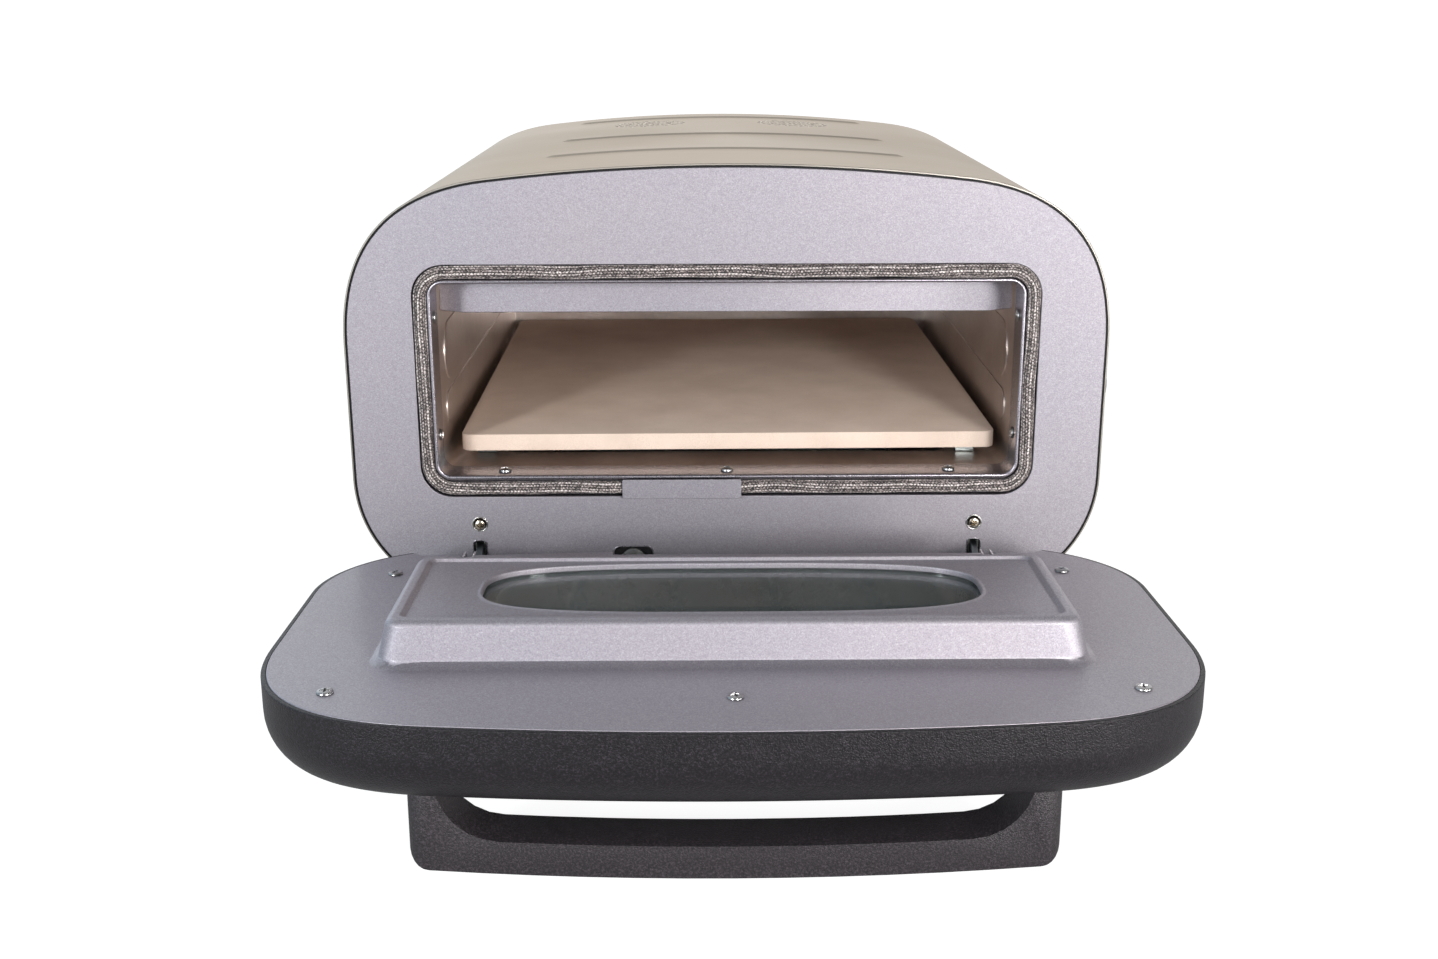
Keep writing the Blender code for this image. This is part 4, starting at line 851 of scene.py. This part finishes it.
# Screws
def make_screw(node, place, axis, head, rise, look, turned, shank=0.0014):
    """A pan-head screw with a cross recess; the shank goes into the sheet."""
    axis = Vector(axis).normalized()
    frame_turn = axis.to_track_quat("Z", "Y").to_matrix().to_4x4()
    frame_turn = Matrix.Translation(place) @ frame_turn @ Matrix.Rotation(turned, 4, "Z")
    sides, steps = 96, 26
    crown, rim_share, rim_width, rim_rise = 0.42, 0.86, 0.14, 0.69
    slot_half, slot_wall, slot_end, slot_end_wall, slot_deep = 0.15, 0.05, 0.60, 0.08, 0.75
    tip_z, shank_z, tip_share = -0.0059, -0.0050, 0.4
    rings = []
    dome = []
    for k in range(steps + 1):
        r = head * k / steps
        edge = r / head
        height = rise * (1.0 - crown * edge ** 2)
        if edge > rim_share:
            fall = (edge - rim_share) / rim_width
            height = rise * rim_rise * sqrt(max(0.0, 1.0 - fall ** 2))
        dome.append((r, height))
    for r, height in dome[:0:-1]:
        ring = []
        for x, y in circle(0.0, 0.0, r, sides):
            near = min(abs(x), abs(y))
            far = max(abs(x), abs(y))
            arm = max(0.0, min(1.0, (head * slot_half - near) / (head * slot_wall)))
            end = max(0.0, min(1.0, (head * slot_end - far) / (head * slot_end_wall)))
            deep = rise * slot_deep * min(arm, end)
            ring.append(frame_turn @ Vector((x, y, height - deep)))
        rings.append(ring)
    skirt = [(shank, 0.0), (shank, shank_z), (shank * tip_share, tip_z)]
    low = [[frame_turn @ Vector((x, y, z)) for x, y in circle(0.0, 0.0, r, sides)]
           for r, z in skirt]
    dress(lofted(node + "_cross", rings[::-1] + low, sharp=SHARP_PRESSED), node, look)


def make_screws():
    """Every visible screw, each with its cross turned its own way."""
    gap, throat_y, floor_x, door_x, field_y = 0.0003, 0.0100, 0.1395, 0.1922, -0.0037
    front = (0.0, -1.0, 0.0)
    for name, side in (("left", -1), ("right", 1)):
        spot = on_case((side * HINGE_SCREW_X, -gap, HINGE_SCREW_Z))
        make_screw(f"hinge_screw_{name}", spot, front,
                   0.0032, 0.0019, looks["screw_metal"], 0.5 + side * 0.3)
    up = (0.0, 0.0, 1.0)
    wall_x = MOUTH_HALF - gap
    for k, (name, x) in enumerate((("left", -floor_x), ("middle", 0.0), ("right", floor_x))):
        make_screw(f"throat_screw_floor_{name}", on_case((x, throat_y, MOUTH_LOW + gap)), up,
                   0.0040, 0.0020, screw_look, 0.4 + k * 0.5, 0.0016)
    for name, side in (("left", -1), ("right", 1)):
        for level, z in (("low", 0.1492), ("high", 0.2235)):
            make_screw(f"throat_screw_{level}_{name}", on_case((side * wall_x, throat_y, z)),
                       (-side, 0.0, 0.0), 0.0036, 0.0016, screw_look, z * 9)
    tilt = on_door((0.0, 1.0, 0.0)) - on_door((0.0, 0.0, 0.0))
    spots = {"middle": (0.0, 0.2761)}
    for name, side in (("left", -1), ("right", 1)):
        spots[f"low_{name}"] = (side * door_x, 0.0916)
        spots[f"high_{name}"] = (side * door_x, 0.2680)
    for k, (name, (x, z)) in enumerate(spots.items()):
        make_screw(f"door_screw_{name}", on_door((x, field_y, z)), tilt, 0.0041, 0.0014,
                   screw_look, 0.3 + k * 0.7)


# Door pieces
def plug_outline(half, low, high, radius):
    return rounded(2 * half, high - low, radius, 0.0, (low + high) / 2, 14)


def arm_slots():
    """Cutters for the hinge arms' slots and for the notch at the door's hinge edge."""
    low, high, near, lean, arm_back, notch_back = 0.0370, 0.0567, 0.1839, 0.90, -0.0540, -0.0160
    step, step_near, step_far = 0.0060, -0.0690, -0.1510
    tools = []
    for side in (-1, 1):
        left = side * ARM_X - SLOT_WIDTH / 2
        right = side * ARM_X + SLOT_WIDTH / 2
        outline = [(left, low), (right, low), (right, SLOT_HIGH), (left, SLOT_HIGH)]
        tools.append(cutter(outline, arm_back, 0.0, on_door))
    wide = near + (high - low) * lean
    outline = [(-wide, low), (wide, low), (near, high), (step_near, high),
               (step_near, high - step), (step_far, high), (-near, high)]
    tools.append(cutter(outline, notch_back, 0.0, on_door))
    return tools


def make_inner_panel():
    """The pressed sheet: field, filleted plug, sunk top and a rolled window edge."""
    base = (0.1760, 0.1268, 0.23765, 0.0120)
    top = (0.1705, 0.1288, 0.23365, 0.0080)
    middle = 0.181225
    height, inset, sheet, least_corner, bends = 0.0230, 0.0026, 0.0010, 0.004, 8
    base_round, rim_round = 0.0042, 0.0036

    def wall(y, grow, low_grow=None):
        """The plug's outline at a height, grown outward."""
        share = y / height
        half, low, high, radius = [a + (b - a) * share for a, b in zip(base, top)]
        low_grow = grow if low_grow is None else low_grow
        return plug_outline(half + grow, low - low_grow, high + grow,
                            max(least_corner, radius + grow))

    edge = [(0.0, -sheet), (0.0, -0.0006), (0.0001, -0.0003), (0.0003, -0.0001), (0.0006, 0.0)]
    steps = [(arched(inset + move, DOOR_LOW), y) for move, y in edge]
    for k in range(bends + 1):
        a = pi / 2 * k / bends
        steps.append((wall(base_round * (1 - cos(a)), base_round * (1 - sin(a))),
                      base_round * (1 - cos(a))))
    for k in range(bends + 1):
        a = pi / 2 * k / bends
        y = height - rim_round * (1 - sin(a))
        steps.append((wall(y, -rim_round * (1 - cos(a))), y))
    rim, low_rim, slope, low_slope, sink = 0.0056, 0.0052, 0.0036, 0.0015, 0.0020
    inside = [(0.0, 0.0), (0.15, 0.03), (0.30, 0.14), (0.70, 0.86), (0.85, 0.97), (1.0, 1.0)]
    for across, down in inside:
        steps.append((wall(height, -(rim + slope * across), -(low_rim + low_slope * across)),
                      height - sink * down))
    low = height - sink
    lip = [(0.0026, 0.0), (0.0018, 0.00015), (0.0012, 0.0004), (0.0007, 0.0005), (0.0003, 0.0003),
           (0.00005, -0.0001), (0.0, -0.0006), (0.0, -0.0025), (0.0009, -0.0025), (0.0009, -0.0010)]
    steps += [(oval(grow), low + y) for grow, y in lip]
    steps.append((wall(height, -(rim + slope + sheet), -(low_rim + low_slope + sheet)),
                  low - sheet))
    steps.append((wall(height, -rim_round - sheet), height - sheet))
    steps.append((wall(height - rim_round, -sheet), height - rim_round))
    steps.append((wall(base_round, -sheet), base_round))
    steps.append((wall(0.0, base_round + sheet), -sheet))
    directions = []
    for shape in (plug_outline(*top), plug_outline(*base), wall(height, -rim), oval(),
                  arched(inset, DOOR_LOW)):
        directions += [(x, z - middle) for x, z in shape]
    pitch, half_high = 0.004, 0.053
    directions += [(x * pitch, side) for side in (-half_high, half_high) for x in range(-42, 43)]
    spread = spread_out(directions)
    rings = []
    for outline, y in steps:
        rings.append([on_door((x, DOOR_FACE + y, z)) for x, z in
                      (along(outline, d, middle) for d in spread)])
    panel = lofted("door_inner_panel_fine", rings, True, SHARP_PRESSED)
    cut(panel, *arm_slots())
    weighted(panel)
    dress(panel, "door_inner_panel")


def door_ring(share_in, share_deep, shrink, front_edge):
    """One outline of the door's pillow shape; the hinge edge is rounded less."""
    full_in, tight_in, full_deep, tight_deep = 0.0260, 0.0080, 0.0280, 0.0080
    top_depth, low_extra = 0.0424, 0.0100
    ring = []
    outer = arched(shrink, DOOR_LOW)
    full = arched(shrink + full_in * share_in, DOOR_LOW)
    tight = arched(shrink + tight_in * share_in, DOOR_LOW)
    for (_, oz), (fx, fz), (tx, tz) in zip(outer, full, tight):
        low_share = min(1.0, max(0.0, (DOOR_LOW + LOW_CORNER - oz) / LOW_CORNER)) ** 2
        x = fx + (tx - fx) * low_share
        z = fz + (tz - fz) * low_share
        depth = top_depth + low_extra * (CASE_HIGH - z) / (CASE_HIGH - DOOR_LOW) - front_edge
        straight = depth - full_deep * (1 - low_share) - tight_deep * low_share
        y = straight + (depth - straight) * share_deep
        ring.append(on_door((x, DOOR_FACE - y, z)))
    return ring


def make_door_body():
    """The hollow pillow with its window hole, slots and notch."""
    bends, wall, front_wall = 12, 0.0046, 0.0020
    hole_low, hole_high, hole_share = -0.0604, -0.0252, 0.94
    rings = []
    turns = [pi / 2 * k / bends for k in range(bends + 1)]
    for turn in turns:
        rings.append(door_ring(1 - sin(turn), cos(turn), 0.0, 0.0))
    for inset, y in ((0.0, -0.0050), (0.0002, -0.0046), (0.0006, -0.0044), (0.0023, -0.0044),
                     (0.0023, -0.0053), (wall, -0.0053)):
        rings.append(at_y(arched(inset, DOOR_LOW), y, on_door))
    for turn in turns[::-2]:
        rings.append(door_ring(1 - sin(turn), cos(turn), wall, front_wall))
    body = lofted("door_body_fine", rings, sharp=SHARP_PRESSED)
    cut(body, cutter(oval(scale=hole_share), hole_low, hole_high, on_door), *arm_slots())
    weighted(body)
    dress(body, "door_body")


place_camera()
make_shell()
make_front()
make_throat()
make_gasket()
make_dials()
make_screws()
make_inner_panel()
make_door_body()
soft_edges = {"pizza_stone": 0.0014, "lintel_baffle": 0.0008, "door_handle": 0.0010,
              "cavity_liner": 0.0006, "gasket_clip": 0.00025, "hinge_arm_left": 0.0006,
              "hinge_arm_right": 0.0006}
# The stone rails, element bar and lower element rest take the dark arm steel as painted shade,
# where the stone's overhang shadows them.
own_looks = {"outer_window_glass": outer_glass_look, "hinge_arm_left": arm_steel_and_painted_shade,
             "hinge_arm_right": arm_steel_and_painted_shade, "door_handle": handle_painted_light_look, "switch_button": button_look,
             "stone_rail_left": arm_steel_and_painted_shade, "stone_rail_right": arm_steel_and_painted_shade,
             "element_bar": arm_steel_and_painted_shade, "lower_element_rest": arm_steel_and_painted_shade}
plain_edge = 0.0003
done = {node for node in nodes if nodes[node].hide_render}
for node in sorted(set(nodes) - done):
    refined(node, soft_edges.get(node, plain_edge), 4 if node in soft_edges else 2,
            own_looks.get(node))


# Light
def lamp(name, place, aim, size, power, colour):
    data = bpy.data.lights.new(name, "AREA")
    data.shape = "RECTANGLE"
    data.size, data.size_y = size
    data.energy = power
    data.color = colour
    obj = link(bpy.data.objects.new(name, data))
    ahead = (Vector(aim) - Vector(place)).normalized()
    turn = ahead.to_track_quat("-Z", "Y").to_matrix().to_4x4()
    obj.matrix_world = Matrix.Translation(place) @ turn


def build_room():
    """The soft light all round, the white floor and the lamps."""
    behind, before, leftward, least, floor_seen, floor_glossy = 1.20, 0.16, 0.62, 0.05, 0.92, 0.30
    world = bpy.data.worlds.new("room")
    bpy.context.scene.world = world
    room = Tree(world, "Generated")

    def toward(way, share):
        """Brighter toward one way, dark from the side of it on."""
        node = room.add("ShaderNodeVectorMath", {"operation": "DOT_PRODUCT"})
        room.put(node, 0, room.place)
        room.put(node, 1, way)
        return room.math("MULTIPLY", room.math("MAXIMUM", node.outputs["Value"], 0.0), share)

    seen = room.seen()
    glow = room.math("ADD", toward((0.0, 1.0, 0.0), behind), toward((0.0, -1.0, 0.0), before))
    glow = room.math("ADD", glow, toward((-1.0, 0.0, 0.0), leftward))
    glow = room.math("ADD", glow, least)
    side = room.add("ShaderNodeSeparateXYZ", Vector=room.place).outputs["X"]
    warm = room.math("MAXIMUM", room.level(side, -0.9, -0.1, 0.0, 1.0), seen)
    colour = room.ramp(warm, [(0.0, (0.76, 0.98, 1.14)), (1.0, (1.0, 1.0, 1.0))])
    light = room.add("ShaderNodeBackground", Color=colour,
                     Strength=room.math("MAXIMUM", glow, seen))
    room.put(room.add("ShaderNodeOutputWorld"), "Surface", light.outputs[0])

    look = Look("floor", Base_Color=(0.30, 0.30, 0.30), Roughness=0.9, Specular_IOR_Level=0.0)
    glossy = look.add("ShaderNodeLightPath").outputs["Is Glossy Ray"]
    look.set(Emission_Color=(1.0, 1.0, 1.0),
             Emission_Strength=look.math("MAXIMUM", look.math("MULTIPLY", look.seen(), floor_seen),
                                         look.math("MULTIPLY", glossy, floor_glossy)))
    reach = 30.0
    floor = meshed("floor", [(-reach, -reach, 0.0), (reach, -reach, 0.0), (reach, reach, 0.0),
                             (-reach, reach, 0.0)], [(0, 1, 2, 3)])
    floor.data.materials.append(look.material)

    aim = (0.0, 0.05, 0.16)
    lamp("right_front", (0.629, -1.604, 0.52), aim, (0.24, 0.30), 14.5, (1.0, 0.985, 0.97))
    lamp("right_low", (0.86, -1.30, 0.20), aim, (0.30, 0.22), 5.0, (1.0, 0.98, 0.97))
    lamp("left_low", (-1.02, -1.20, 0.20), aim, (0.30, 0.22), 1.2, (0.88, 0.98, 1.06))
    lamp("left_front", (-0.931, -1.488, 0.52), aim, (0.17, 0.30), 10.0, (0.97, 0.985, 1.0))
    lamp("right_side", (1.35, -0.75, 0.20), aim, (0.40, 0.30), 3.6, (1.0, 1.0, 1.0))


build_room()
view = bpy.context.scene.view_settings
view.view_transform = "Standard"
